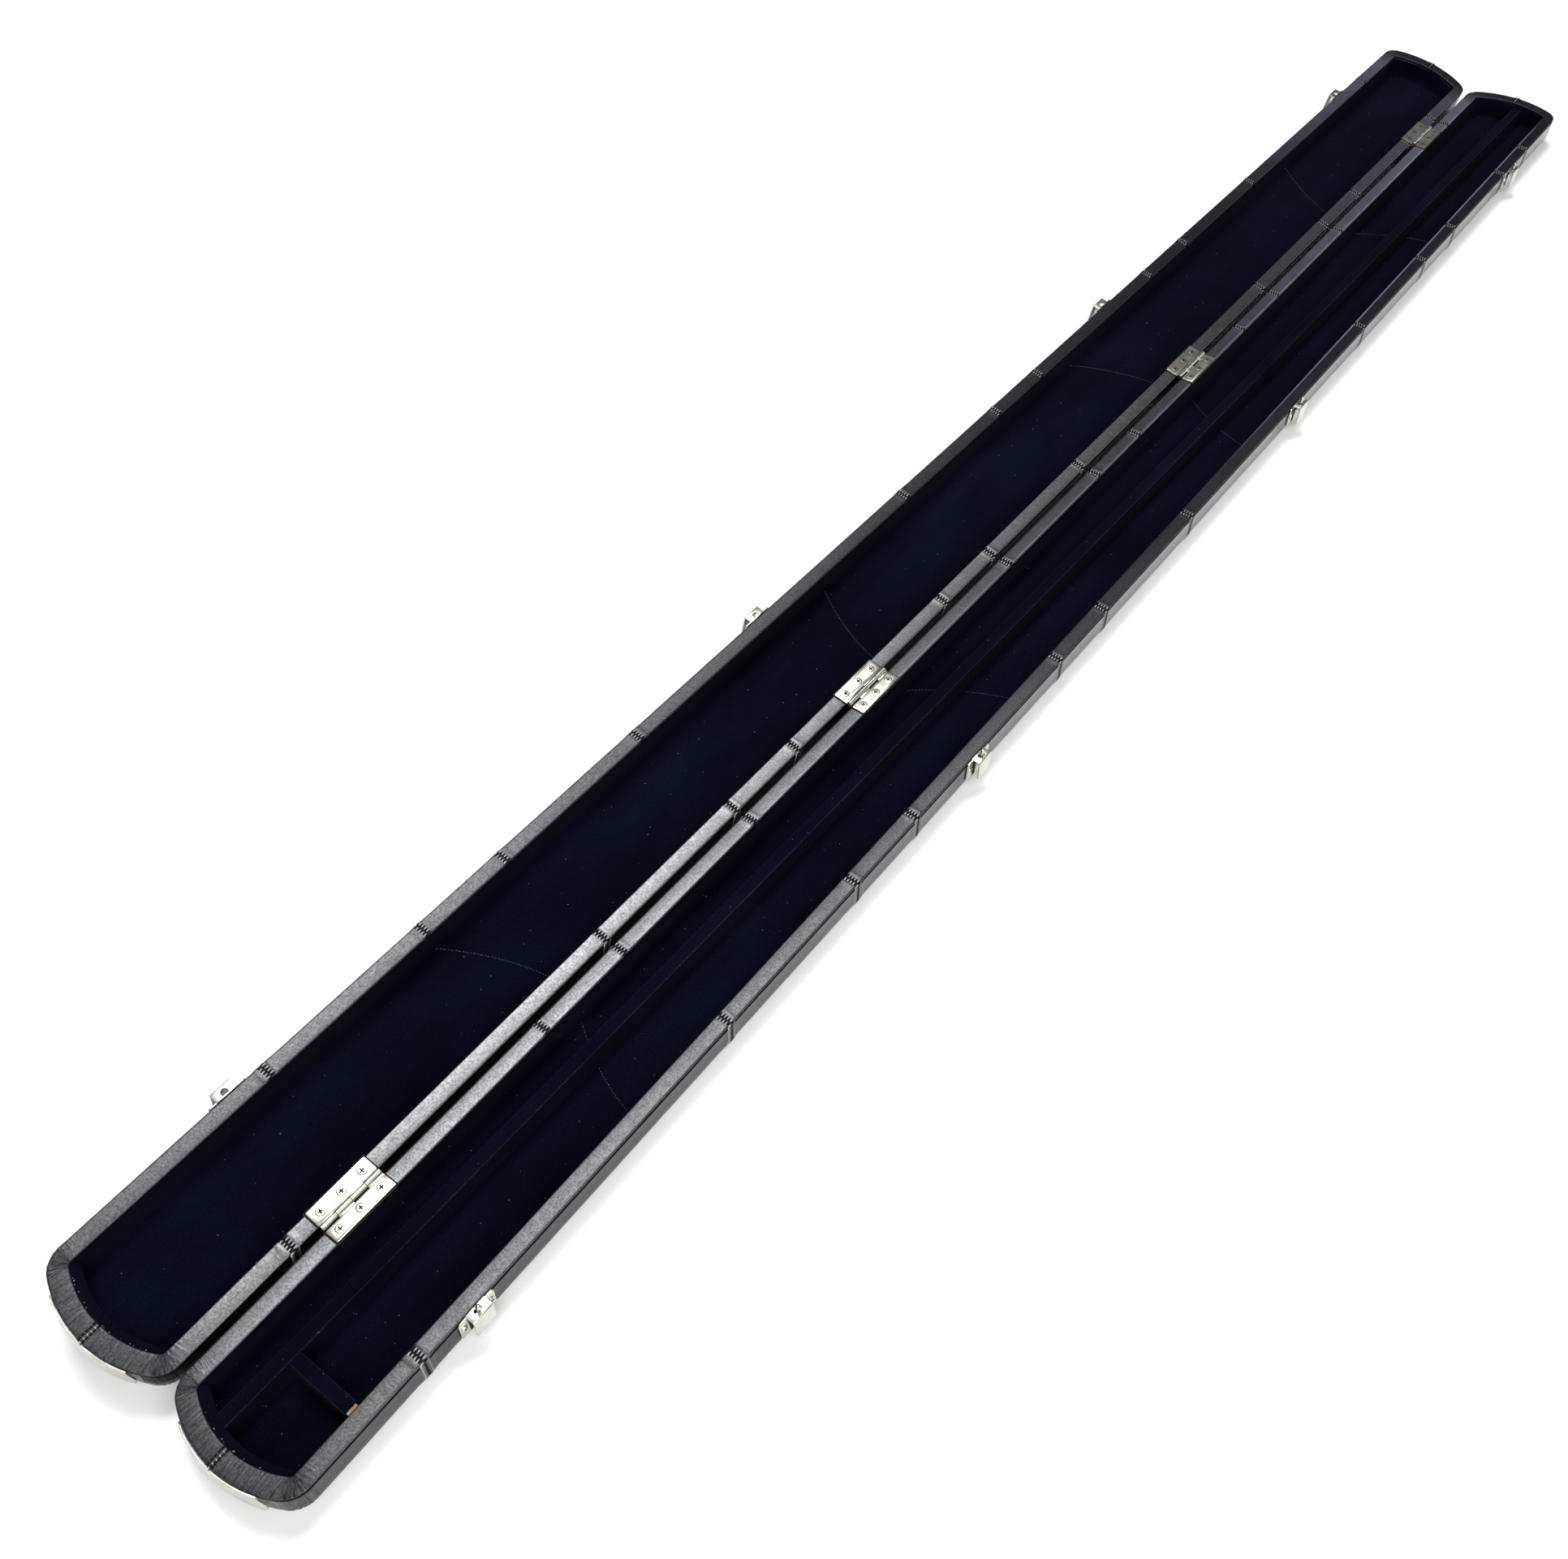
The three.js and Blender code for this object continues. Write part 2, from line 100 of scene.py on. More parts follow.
HOOD_LENGTH = 12.6
HOOD_REACH = 6.2
HOOD_HEIGHT = 14.0
HOOD_SHEET = 0.9
LATCH_PLATE_LENGTH = 23.0
LATCH_SCREW_SPACING = 17.6
LATCH_SCREW_RADIUS = 2.0
CATCH_X = 2.75
CATCH_RISE = 5.3
CATCH_HOLE_RADIUS = 2.4
CATCH_HEAD_RADIUS = 1.4
CATCH_STEM_RADIUS = 1.0
CATCH_DOME = 0.9
LID_SLOT_RADIUS = 2.25
LID_SLOT_START = 1.25
LID_SLOT_END = CATCH_X + 1.6
END_STRIP_LENGTH = 59.0
END_STRIP_HEIGHT = 12.0
END_STRIP_FLARE = 0.9
END_STRIP_SCREW = 24.5

DIVIDER_WIDTH = 7.8
DIVIDER_DROP = 4.5
DIVIDER_OFFSET = -4.06
DIVIDER_SLOPE = 0.01211

# Leather seams across both rails of a tray, then those that cross its -x or its +x rail only.
SEAMS_BOTH = [-460, -345, -65, 53, 338, 458, 686]
SEAMS_LEFT = {"base": [-636, -522, 111, 278], "lid": [-631, -522, 111, 278]}
SEAMS_RIGHT = [-684, -285, -123, 521, 631]
SEAM_HALF_WIDTH = 2.2
SEAM_PITCH = 0.95
SEAM_LIFT = -0.05
END_STITCH_PITCH = 2.1

# The velvet's slanting seams: where each crosses a tray's middle, and how far it rises across the tray.
VELVET_SEAMS = {
    "base": [(-513, -28), (-172, 37), (182, -30), (506, 28)],
    "lid": [(-505, 31), (-170, -24), (176, 36), (517, -31)],
}
VELVET_SEAM_BOW = 4.5
COVE_DEPTH = 4.2

# How glossy each tray's outer rail and then its hinge-side rail is set at places along the case: a
# painted reflection strength.
REFLECTION_STATIONS = [-600, -400, -200, 0, 300, 600]
RAIL_REFLECTION = {
    "base": [[0.59, 0.50, 0.44, 0.26, 0.13, 0.08], [1.10, 0.98, 0.78, 0.57, 0.45, 0.65]],
    "lid": [[0.60, 0.37, 0.36, 0.27, 0.16, 0.20], [1.20, 1.22, 1.25, 1.20, 0.72, 0.70]],
}
# The same painted reflection strength for the outer walls of both trays.
WALL_REFLECTION = [0.18, 0.30, 0.72, 1.2, 1.35, 1.4]
# The rows of the leather's section on the crest of its rolled inner edge, which are painted pale as a
# highlight.
HIGHLIGHT_ROWS = [5, 6]

END_STEPS = 44
CORNER_STEPS = 26
SIDE_STEP = 4.0
SEAM_STEP = 0.8
SEAM_ZONE = 6.4
LEATHER_BOTTOM_STEPS = 18
VELVET_FLOOR_STEPS = 44
ROUND_STEPS = 28
CRUMB_COUNT = 26
CRUMB_REACH = 27.0
FLOOR_DROP = 0.2


@dataclass
class Form:
    """A long outline with bowed ends: straight sides, tight corner arcs and a wide end arc."""

    half_width: float
    apex: float
    end_radius: float
    corner_radius: float


@dataclass
class Row:
    """One line of a tray's cross section, from its place between the cavity and outer outlines.

    across runs from 0 on the cavity outline to 1 on the outer one. lean is the direction that the
    surface faces: 0 is up, 90 is away from the tray's middle, -90 is towards it and 180 is down.
    """

    across: float
    cavity_inset: float
    outer_inset: float
    z: float
    lean: float


@dataclass
class Tray:
    """The base or the lid: its body's name, its depth, its place, and its hinge side."""

    name: str
    depth: float
    matrix: Matrix
    hinge_side: int


def middle_y(node_name):
    """The middle of a CAD node along the case, in millimetres."""
    return sum(corner.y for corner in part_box(node_name)) / 2 / MM


def measure_frame():
    """The outer sizes, the hinge pin and the fittings' places, read from the CAD nodes."""
    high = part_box("base_leather_sides")[1] / MM
    pin = Vector(next(j for j in frame["joints"] if j["name"] == "lid_hinge")["pos_m"]) / MM
    hinges = [middle_y(f"hinge_{i}_pin") for i in range(1, 5)]
    latches = [middle_y(f"latch_{i}_base_hood") for i in range(1, 5)]
    return high.x, high.y, pin, hinges, latches


HALF_WIDTH, HALF_LENGTH, PIN, HINGE_STATIONS, LATCH_STATIONS = measure_frame()
PIN_RISE = PIN.z - BASE_DEPTH
HINGE_GAP = 2 * (-PIN.x - HALF_WIDTH)
LID_DEPTH = (
    EDGE_RADIUS
    - PIN_RISE
    + (PIN.z - EDGE_RADIUS + (HINGE_GAP / 2 + EDGE_RADIUS) * math.sin(REST_TILT)) / math.cos(REST_TILT)
)

OUTER = Form(HALF_WIDTH, HALF_LENGTH, END_RADIUS, CORNER_RADIUS)
CAVITY = Form(
    HALF_WIDTH - RIM_WIDTH,
    HALF_LENGTH - RIM_WIDTH_AT_APEX,
    CAVITY_END_RADIUS,
    CAVITY_CORNER_RADIUS,
)
LID_HINGE_MATRIX = Matrix.Translation(PIN) @ Matrix.Rotation(REST_TILT, 4, "Y")
BASE = Tray("base", BASE_DEPTH, Matrix.Translation((0, 0, BASE_DEPTH)), -1)
LID = Tray("lid", LID_DEPTH, LID_HINGE_MATRIX @ Matrix.Translation((PIN.x, 0, -PIN_RISE)), 1)
TRAYS = [BASE, LID]


# ---------------------------------------------------------------- material nodes


class Nodes:
    """A short way to write a material's node tree. Inputs are given as values or as other sockets."""

    def __init__(self, name):
        self.material = bpy.data.materials.new(name)
        self.material.use_nodes = True
        self.tree = self.material.node_tree
        self.shader = self.tree.nodes["Principled BSDF"]
        self.place = self.add("ShaderNodeTexCoord").outputs["Object"]

    def fill(self, socket, value):
        if isinstance(value, bpy.types.NodeSocket):
            self.tree.links.new(value, socket)
        else:
            socket.default_value = value

    def add(self, kind, inputs=None, **settings):
        node = self.tree.nodes.new(kind)
        for key, value in settings.items():
            setattr(node, key, value)
        for key, value in (inputs or {}).items():
            self.fill(node.inputs[key], value)
        return node

    def noise(self, scale, detail=3.0, roughness=0.5, place=None):
        inputs = {"Scale": scale, "Detail": detail, "Roughness": roughness, "Vector": place or self.place}
        return self.add("ShaderNodeTexNoise", inputs).outputs["Fac"]

    def stretched(self, scale):
        return self.add("ShaderNodeMapping", {"Scale": scale, "Vector": self.place}).outputs["Vector"]

    def attribute(self, name):
        return self.add("ShaderNodeAttribute", attribute_name=name).outputs["Fac"]

    def math(self, operation, a, b):
        return self.add("ShaderNodeMath", {0: a, 1: b}, operation=operation).outputs[0]

    def times(self, a, b):
        return self.math("MULTIPLY", a, b)

    def plus(self, a, b):
        return self.math("ADD", a, b)

    def spread(self, value, low, high, to_low, to_high):
        inputs = {0: value, 1: low, 2: high, 3: to_low, 4: to_high}
        return self.add("ShaderNodeMapRange", inputs).outputs["Result"]

    def ramp(self, value, stops):
        node = self.add("ShaderNodeValToRGB", {"Fac": value})
        for element, (position, colour) in zip(node.color_ramp.elements, stops):
            element.position = position
            element.color = (*colour, 1.0)
        return node.outputs["Color"]

    def scaled_colour(self, colour, factor):
        plain = self.add("ShaderNodeRGB")
        plain.outputs[0].default_value = (*colour, 1.0)
        inputs = {0: plain.outputs[0], "Scale": factor}
        return self.add("ShaderNodeVectorMath", inputs, operation="SCALE").outputs[0]

    def bump(self, height, strength, distance_mm, under=None):
        inputs = {"Height": height, "Strength": strength, "Distance": distance_mm * MM}
        if under:
            inputs["Normal"] = under
        return self.add("ShaderNodeBump", inputs).outputs["Normal"]

    def set(self, **values):
        names = {name.lower().replace(" ", "_"): name for name in self.shader.inputs.keys()}
        for key, value in values.items():
            self.fill(self.shader.inputs[names[key]], value)


# ---------------------------------------------------------------- materials


def pleat_noise(n):
    """Noise whose bands run across the hide, for leather that is gathered along its edge."""
    across = n.times(n.attribute("across"), 0.11)
    place = n.add("ShaderNodeCombineXYZ", {"X": n.attribute("along"), "Y": across})
    return n.noise(0.85, 4.0, 0.65, place.outputs["Vector"])


def hide_grain(n, gather):
    """The fine soft grain of the hide, stronger where gather is high."""
    pebble = n.add("ShaderNodeTexVoronoi", {"Scale": 1250, "Vector": n.place}, feature="SMOOTH_F1")
    pores = n.noise(1500, 3.0, 0.6)
    mottle = n.times(n.noise(700, 2.0, 0.5), 1.4)
    grain = n.plus(n.times(pebble.outputs["Distance"], 0.5), n.plus(pores, mottle))
    return n.times(grain, n.plus(n.times(gather, 1.6), 1.0))


def leather_material():
    """Black hide with a fine soft grain, gathered into pleats where gather is high."""
    n = Nodes("leather")
    gather = n.attribute("gather")
    pleats = pleat_noise(n)
    blotches = n.noise(45, 4.0, 0.6)
    tone = n.times(n.attribute("tone"), n.spread(blotches, 0.3, 0.7, 0.8, 1.25))
    flecks = n.noise(900, 3.0, 0.7)
    streaks = n.times(gather, n.spread(pleats, 0.35, 0.65, -1.6, 1.6))
    gloss = n.times(n.attribute("shine"), n.math("MAXIMUM", n.plus(streaks, 1.0), 0.0))
    soft = n.spread(n.noise(300, 3.0), 0.3, 0.7, 0.39, 0.47)
    grain_bump = n.bump(hide_grain(n, gather), 0.5, 0.06)
    n.set(
        base_color=n.scaled_colour((0.0056, 0.0059, 0.0088), tone),
        roughness=n.math("SUBTRACT", soft, n.times(n.attribute("polish"), 0.2)),
        normal=n.bump(n.times(pleats, gather), 1.0, 1.6, grain_bump),
        specular_ior_level=n.times(gloss, n.spread(flecks, 0.38, 0.62, 0.43, 0.92)),
        specular_tint=(0.94, 0.97, 1.0, 1.0),
        ior=1.8,
    )
    return n.material


def mottled_material(name, grain, colours, roughness, relief=None, **constants):
    """A material that varies with one fine noise, from the first colour and roughness to the second.

    grain is the noise's settings, and relief is the strength and depth of the bumps that it makes.
    """
    n = Nodes(name)
    mottle = n.noise(*grain)
    n.set(
        base_color=n.ramp(mottle, list(zip((0.3, 0.7), colours))),
        roughness=n.spread(mottle, 0.3, 0.7, *roughness),
        **constants,
    )
    if relief:
        n.set(normal=n.bump(mottle, *relief))
    return n.material


def lint_specks(n):
    """1 in a few small scattered specks and 0 elsewhere."""
    place = n.add("ShaderNodeSeparateXYZ", {"Vector": n.place})
    slanted = {axis: n.plus(place.outputs[axis], place.outputs["Z"]) for axis in "XY"}
    sheared = n.add("ShaderNodeCombineXYZ", slanted)
    inputs = {"Scale": 60, "Vector": sheared.outputs["Vector"]}
    cells = n.add("ShaderNodeTexVoronoi", inputs, voronoi_dimensions="2D", feature="F1")
    chance = n.add("ShaderNodeSeparateColor", {"Color": cells.outputs["Color"]})
    return n.math("LESS_THAN", cells.outputs["Distance"], n.times(chance.outputs["Red"], 0.017))


def velvet_material(name, colour, pile_scale, contrast):
    """Near-black navy pile with soft brushed patches and a few specks of pale lint."""
    n = Nodes(name)
    brushed = n.noise(24, 4.0, 0.6, n.stretched((1.0, 0.35, 1.0)))
    pile = n.noise(pile_scale, 3.0, 0.65)
    speckle = n.spread(pile, 0.35, 0.65, 1 / contrast, contrast)
    tone = n.times(n.spread(brushed, 0.3, 0.7, 0.6, 1.6), speckle)
    nap = n.scaled_colour(colour, tone)
    inputs = {"Factor": lint_specks(n), "A": nap, "B": (0.09, 0.10, 0.13, 1.0)}
    mix = n.add("ShaderNodeMix", inputs, data_type="RGBA")
    n.set(
        base_color=mix.outputs["Result"],
        roughness=1.0,
        specular_ior_level=0.02,
        sheen_weight=0.006,
        sheen_roughness=0.5,
        normal=n.bump(pile, 0.8, 0.4),
    )
    return n.material


def nickel_material():
    """Bright nickel plate, finely brushed and a little tarnished."""
    n = Nodes("nickel")
    scratches = n.noise(900, 3.0, 0.6, n.stretched((1.0, 0.06, 1.0)))
    haze = n.noise(120, 4.0, 0.6)
    n.set(
        base_color=n.ramp(haze, [(0.3, (0.47, 0.45, 0.39)), (0.7, (0.60, 0.58, 0.52))]),
        metallic=1.0,
        roughness=n.spread(haze, 0.3, 0.7, 0.31, 0.38),
        normal=n.bump(scratches, 0.12, 0.03),
    )
    return n.material


def wood_material():
    """Sawn light wood with its grain running along x."""
    n = Nodes("wood")
    grain = n.noise(420, 5.0, 0.6, n.stretched((0.08, 1.0, 1.0)))
    n.set(
        base_color=n.ramp(grain, [(0.3, (0.20, 0.10, 0.045)), (0.7, (0.46, 0.28, 0.15))]),
        roughness=n.spread(grain, 0.3, 0.7, 0.8, 0.6),
        normal=n.bump(grain, 0.5, 0.2),
    )
    return n.material


def thread_material(name, dark, light, roughness):
    """Matt thread, finely mottled."""
    n = Nodes(name)
    plies = n.noise(2400, 2.0)
    n.set(
        base_color=n.ramp(plies, [(0.35, dark), (0.65, light)]),
        roughness=roughness,
        specular_ior_level=0.06,
        normal=n.bump(plies, 0.6, 0.1),
    )
    return n.material


def floor_material():
    """Plain, pale and matt."""
    n = Nodes("floor")
    n.set(base_color=(0.87, 0.87, 0.862, 1.0), roughness=0.9, specular_ior_level=0.1)
    return n.material


LEATHER_LOOK = leather_material()
# The same hide, stretched smooth and shiny between stitches, and painted much lighter than the hide as a
# painted highlight.
PUCKER_HIGHLIGHT_LOOK = mottled_material(
    "stretched_leather_highlight",
    (1500, 3.0, 0.6),
    [(0.09, 0.09, 0.095), (0.20, 0.20, 0.21)],
    (0.28, 0.38),
    (0.4, 0.05),
    specular_ior_level=1.0,
    ior=1.8,
)
VELVET_LOOK = velvet_material("velvet", (0.0011, 0.0017, 0.0047), 1900, 1.8)
# Paler velvet for the dividers' rounded top edges.
PALE_EDGE_LOOK = velvet_material("pale_edge_velvet", (0.0036, 0.0048, 0.0085), 900, 2.8)
NICKEL_LOOK = nickel_material()
# Painted shade, near black, in the screws' cross slots, round the hinge leaves and inside the hoods.
RECESS_SHADE_LOOK = mottled_material(
    "painted_recess_shade",
    (1500, 2.0),
    [(0.006, 0.004, 0.003), (0.026, 0.018, 0.013)],
    (0.6, 0.8),
    specular_ior_level=0.1,
)
METAL_LOOKS = [NICKEL_LOOK, RECESS_SHADE_LOOK]
WOOD_LOOK = wood_material()
# Dried, greyish glue.
GLUE_LOOK = mottled_material(
    "dried_glue",
    (1800, 2.0),
    [(0.12, 0.115, 0.10), (0.30, 0.29, 0.27)],
    (0.4, 0.6),
    specular_ior_level=0.3,
)
BLACK_THREAD = thread_material("black_thread", (0.001, 0.001, 0.001), (0.006, 0.006, 0.007), 0.45)
VELVET_THREAD = thread_material("velvet_thread", (0.012, 0.016, 0.024), (0.06, 0.075, 0.10), 0.9)


# ---------------------------------------------------------------- making pieces


def make_piece(name, verts, faces, matrix, look, body, floats=None):
    """A mesh from millimetre points in a tray's frame, riding on a body."""
    mesh = bpy.data.meshes.new(name)
    mesh.from_pydata([tuple(v) for v in verts], [], [tuple(f) for f in faces])
    for key, values in (floats or {}).items():
        layer = mesh.attributes.new(key, "FLOAT", "POINT")
        layer.data.foreach_set("value", np.asarray(values, np.float32).ravel())
    mesh.transform(Matrix.Scale(MM, 4) @ matrix)
    for material in look if isinstance(look, list) else [look]:
        mesh.materials.append(material)
    piece = bpy.data.objects.new(name, mesh)
    bpy.context.scene.collection.objects.link(piece)
    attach(piece, body)
    return piece


def make_skin(name, points, tray, look, floats=None):
    """A smooth skin over a tray from a grid of points, stations by section points by 3."""
    stations, count, _ = points.shape
    faces = [
        (j * count + k, j * count + k + 1, (j + 1) * count + k + 1, (j + 1) * count + k)
        for j in range(stations - 1)
        for k in range(count - 1)
    ]
    piece = make_piece(name, points.reshape(-1, 3), faces, tray.matrix, look, tray.name, floats)
    tidy_mesh(piece, 75)
    return piece


def tidy_mesh(piece, sharp_degrees=40, weld=1e-6):
    """Welds coincident points, turns the faces outwards and smooths all but the sharp edges."""
    bm = bmesh.new()
    bm.from_mesh(piece.data)
    bmesh.ops.remove_doubles(bm, verts=bm.verts, dist=weld)
    bmesh.ops.dissolve_degenerate(bm, edges=bm.edges, dist=weld)
    bmesh.ops.recalc_face_normals(bm, faces=bm.faces)
    bm.to_mesh(piece.data)
    bm.free()
    piece.data.shade_smooth()
    piece.data.set_sharp_from_angle(angle=math.radians(sharp_degrees))


class Parts:
    """Collects closed shells, each with a material number, into one mesh."""

    def __init__(self):
        self.verts = []
        self.faces = []
        self.numbers = []

    def add(self, shell, matrix=None, number=0):
        verts, faces = shell[:2]
        own = shell[2] if len(shell) > 2 else [number] * len(faces)
        start = len(self.verts)
        self.verts += [(matrix @ Vector(v)) if matrix else Vector(v) for v in verts]
        self.faces += [[start + i for i in face] for face in faces]
        self.numbers += own

    def make(self, name, matrix, look, body, sharp_degrees=40):
        piece = make_piece(name, self.verts, self.faces, matrix, look, body)
        piece.data.polygons.foreach_set("material_index", self.numbers)
        tidy_mesh(piece, sharp_degrees, weld=1e-7)
        return piece


def shell_of(bm):
    """A bmesh as a list of points and a list of faces; the bmesh is freed."""
    bm.verts.index_update()
    verts = [v.co.copy() for v in bm.verts]
    faces = [[v.index for v in face.verts] for face in bm.faces]
    bm.free()
    return verts, faces


def band_faces(rings, count):
    """The faces between rings of count points each."""
    faces = []
    for ring in range(rings - 1):
        for k in range(count):
            a = ring * count + k
            b = ring * count + (k + 1) % count
            faces.append([a, b, b + count, a + count])
    return faces


def slab(outline, z0, z1, bevel=0.0, steps=2):
    """A flat plate from a closed outline, with its edges rounded."""
    bm = bmesh.new()
    bottom = bm.faces.new([bm.verts.new((x, y, z0)) for x, y in outline])
    raised = bmesh.ops.extrude_face_region(bm, geom=[bottom])["geom"]
    bmesh.ops.translate(
        bm, verts=[g for g in raised if isinstance(g, bmesh.types.BMVert)], vec=(0, 0, z1 - z0)
    )
    bmesh.ops.recalc_face_normals(bm, faces=bm.faces)
    if bevel:
        level = [e for e in bm.edges if abs(e.verts[0].co.z - e.verts[1].co.z) < 1e-6]
        bmesh.ops.bevel(bm, geom=level, offset=bevel, segments=steps, profile=0.5, affect="EDGES")
    return shell_of(bm)


def rounded_rectangle(x0, x1, y0, y1, radius, steps=4):
    """The outline of a rectangle with rounded corners."""
    centres = [(x1, y1, 0), (x0, y1, 90), (x0, y0, 180), (x1, y0, 270)]
    points = []
    for x, y, start in centres:
        cx = x - radius if x == x1 else x + radius
        cy = y - radius if y == y1 else y + radius
        for k in range(steps + 1):
            angle = math.radians(start + 90 * k / steps)
            points.append((cx + radius * math.cos(angle), cy + radius * math.sin(angle)))
    return points


def lathe(profile, steps=24):
    """Turns a profile of (radius, height) points about the z axis. It closes on itself or the axis."""
    verts = []
    rings = []
    for radius, height in profile:
        if radius < 1e-9:
            rings.append([len(verts)])
            verts.append((0, 0, height))
            continue
        rings.append(list(range(len(verts), len(verts) + steps)))
        for k in range(steps):
            angle = 2 * math.pi * k / steps
            verts.append((radius * math.cos(angle), radius * math.sin(angle), height))
    faces = []
    closed = profile[0][0] > 1e-9
    pairs = list(zip(rings, rings[1:])) + ([(rings[-1], rings[0])] if closed else [])
    for low, high in pairs:
        for k in range(steps):
            a, b = low[k % len(low)], low[(k + 1) % len(low)]
            c, d = high[(k + 1) % len(high)], high[k % len(high)]
            faces.append([i for n, i in enumerate((a, b, c, d)) if i not in (a, b, c, d)[:n]])
    return verts, faces


def round_bar(radius, x, y, z0, z1):
    """An upright round bar."""
    verts, faces = lathe([(0.0, z0), (radius, z0), (radius, z1), (0.0, z1)], ROUND_STEPS)
    return [Vector(v) + Vector((x, y, 0)) for v in verts], faces


def shell_object(shell, materials):
    """A throw-away object of a shell."""
    thing = bpy.data.objects.new("carve", bpy.data.meshes.new("carve"))
    thing.data.from_pydata([tuple(v) for v in shell[0]], [], shell[1])
    for material in materials:
        thing.data.materials.append(material)
    bpy.context.scene.collection.objects.link(thing)
    return thing


def carve(shell, cutters):
    """Cuts shells out of a shell with Blender's exact boolean; cut faces get material number 1."""
    target = shell_object(shell, METAL_LOOKS)
    tools = [shell_object(cutter, [RECESS_SHADE_LOOK]) for cutter in cutters]
    for tool in tools:
        modifier = target.modifiers.new("cut", "BOOLEAN")
        modifier.operation = "DIFFERENCE"
        modifier.solver = "EXACT"
        modifier.material_mode = "TRANSFER"
        modifier.object = tool
    depsgraph = bpy.context.evaluated_depsgraph_get()
    result = bpy.data.meshes.new_from_object(target.evaluated_get(depsgraph))
    verts = [v.co.copy() for v in result.vertices]
    faces = [list(p.vertices) for p in result.polygons]
    numbers = [min(p.material_index, 1) for p in result.polygons]
    for thing in [target, *tools]:
        mesh = thing.data
        bpy.data.objects.remove(thing)
        bpy.data.meshes.remove(mesh)
    bpy.data.meshes.remove(result)
    return verts, faces, numbers


def sweep_box(x0, x1, y0, y1, z0, z1, bevel=0.0):
    """A block with its edges rounded."""
    bm = bmesh.new()
    bmesh.ops.create_cube(bm, size=1.0)
    for v in bm.verts:
        v.co = Vector(
            (x0 if v.co.x < 0 else x1, y0 if v.co.y < 0 else y1, z0 if v.co.z < 0 else z1)
        )
    if bevel:
        bmesh.ops.bevel(bm, geom=bm.edges[:], offset=bevel, segments=2, profile=0.5, affect="EDGES")
    return shell_of(bm)


# ---------------------------------------------------------------- outlines


def side_stations(length):
    """Places along a straight side, from -1 to 1, close together at every seam."""
    seams = sorted(SEAMS_BOTH + SEAMS_LEFT["base"] + SEAMS_LEFT["lid"] + SEAMS_RIGHT)
    places = list(np.arange(-length, length, SIDE_STEP))
    for seam in seams:
        places = [p for p in places if abs(p - seam) > SEAM_ZONE]
        places += list(np.arange(seam - SEAM_ZONE, seam + SEAM_ZONE + 0.01, SEAM_STEP))
    places = sorted(p for p in set(places) if abs(p) < length - 0.3)
    kept = [places[0]]
    for place in places[1:]:
        if place - kept[-1] > 0.4:
            kept.append(place)
    return np.array(kept) / length


def corner_centre(form):
    """The middle of the outline's far +x corner arc."""
    corner_x = form.half_width - form.corner_radius
    reach = form.end_radius - form.corner_radius
    return corner_x, form.apex - form.end_radius + math.sqrt(reach**2 - corner_x**2)


STATIONS = side_stations(corner_centre(OUTER)[1])


def half_outline(form, inset):
    """The +X half of an outline, from the near apex to the far one: points and outward normals."""
    corner = form.corner_radius - inset
    end = form.end_radius - inset
    arc_y = form.apex - form.end_radius
    corner_x, corner_y = corner_centre(form)
    turn = math.atan2(corner_x, corner_y - arc_y)
    arc = np.linspace(0, turn, END_STEPS + 1)
    bend = np.linspace(turn, math.pi / 2, CORNER_STEPS + 1)[1:]
    angles = np.concatenate([arc, bend])
    centre = [(0, arc_y, end)] * len(arc) + [(corner_x, corner_y, corner)] * len(bend)
    centre = np.array(centre)
    normals = np.stack([np.sin(angles), np.cos(angles)], 1)
    far = centre[:, :2] + centre[:, 2:] * normals
    near = far * [1, -1]
    near_normals = normals * [1, -1]
    side = np.stack([np.full(len(STATIONS), form.half_width - inset), STATIONS * corner_y], 1)
    side_normals = np.tile([1.0, 0.0], (len(STATIONS), 1))
    points = np.concatenate([near, side, far[::-1]])
    return points, np.concatenate([near_normals, side_normals, normals[::-1]])


def section_grid(rows, across_steps):
    """Places a half cross section at every station of the outline, on both sides, joined across.

    Returns points and directions as arrays of stations by section points by 3.
    """
    right = []
    leans = []
    for row in rows:
        cavity, _ = half_outline(CAVITY, row.cavity_inset)
        outer, normals = half_outline(OUTER, row.outer_inset)
        flat = cavity * (1 - row.across) + outer * row.across
        lean = math.radians(row.lean)
        right.append(np.column_stack([flat, np.full(len(flat), row.z)]))
        leans.append(np.column_stack([normals * math.sin(lean), np.full(len(flat), math.cos(lean))]))
    right = np.stack(right, 1)
    leans = np.stack(leans, 1)
    mirror = np.array([-1, 1, 1])
    left = (right * mirror)[:, ::-1]
    left_leans = (leans * mirror)[:, ::-1]
    share = np.arange(1, across_steps) / across_steps
    inner = right[:, -1:] * (1 - share)[None, :, None] + left[:, :1] * share[None, :, None]
    inner_leans = np.repeat(leans[:, -1:], across_steps - 1, axis=1)
    return (
        np.concatenate([right, inner, left], 1),
        np.concatenate([leans, inner_leans, left_leans], 1),
    )


def arc_length():
    """The distance round the outer outline from the near apex, at every station."""
    points, _ = half_outline(OUTER, 0)
    steps = np.linalg.norm(np.diff(points, axis=0), axis=1)
    return np.concatenate([[0], np.cumsum(steps)])


def smooth_step(value, low, high):
    """0 below low and 1 above high, with a smooth rise between."""
    t = np.clip((value - low) / (high - low), 0, 1)
    return t * t * (3 - 2 * t)


def drift(points, scale, seed):
    """Slow noise between -1 and 1 at each point of an array."""
    flat = points.reshape(-1, 3) / scale + seed
    values = [noise.noise(Vector(p)) for p in flat]
    return np.array(values).reshape(points.shape[:-1])


# ---------------------------------------------------------------- leather


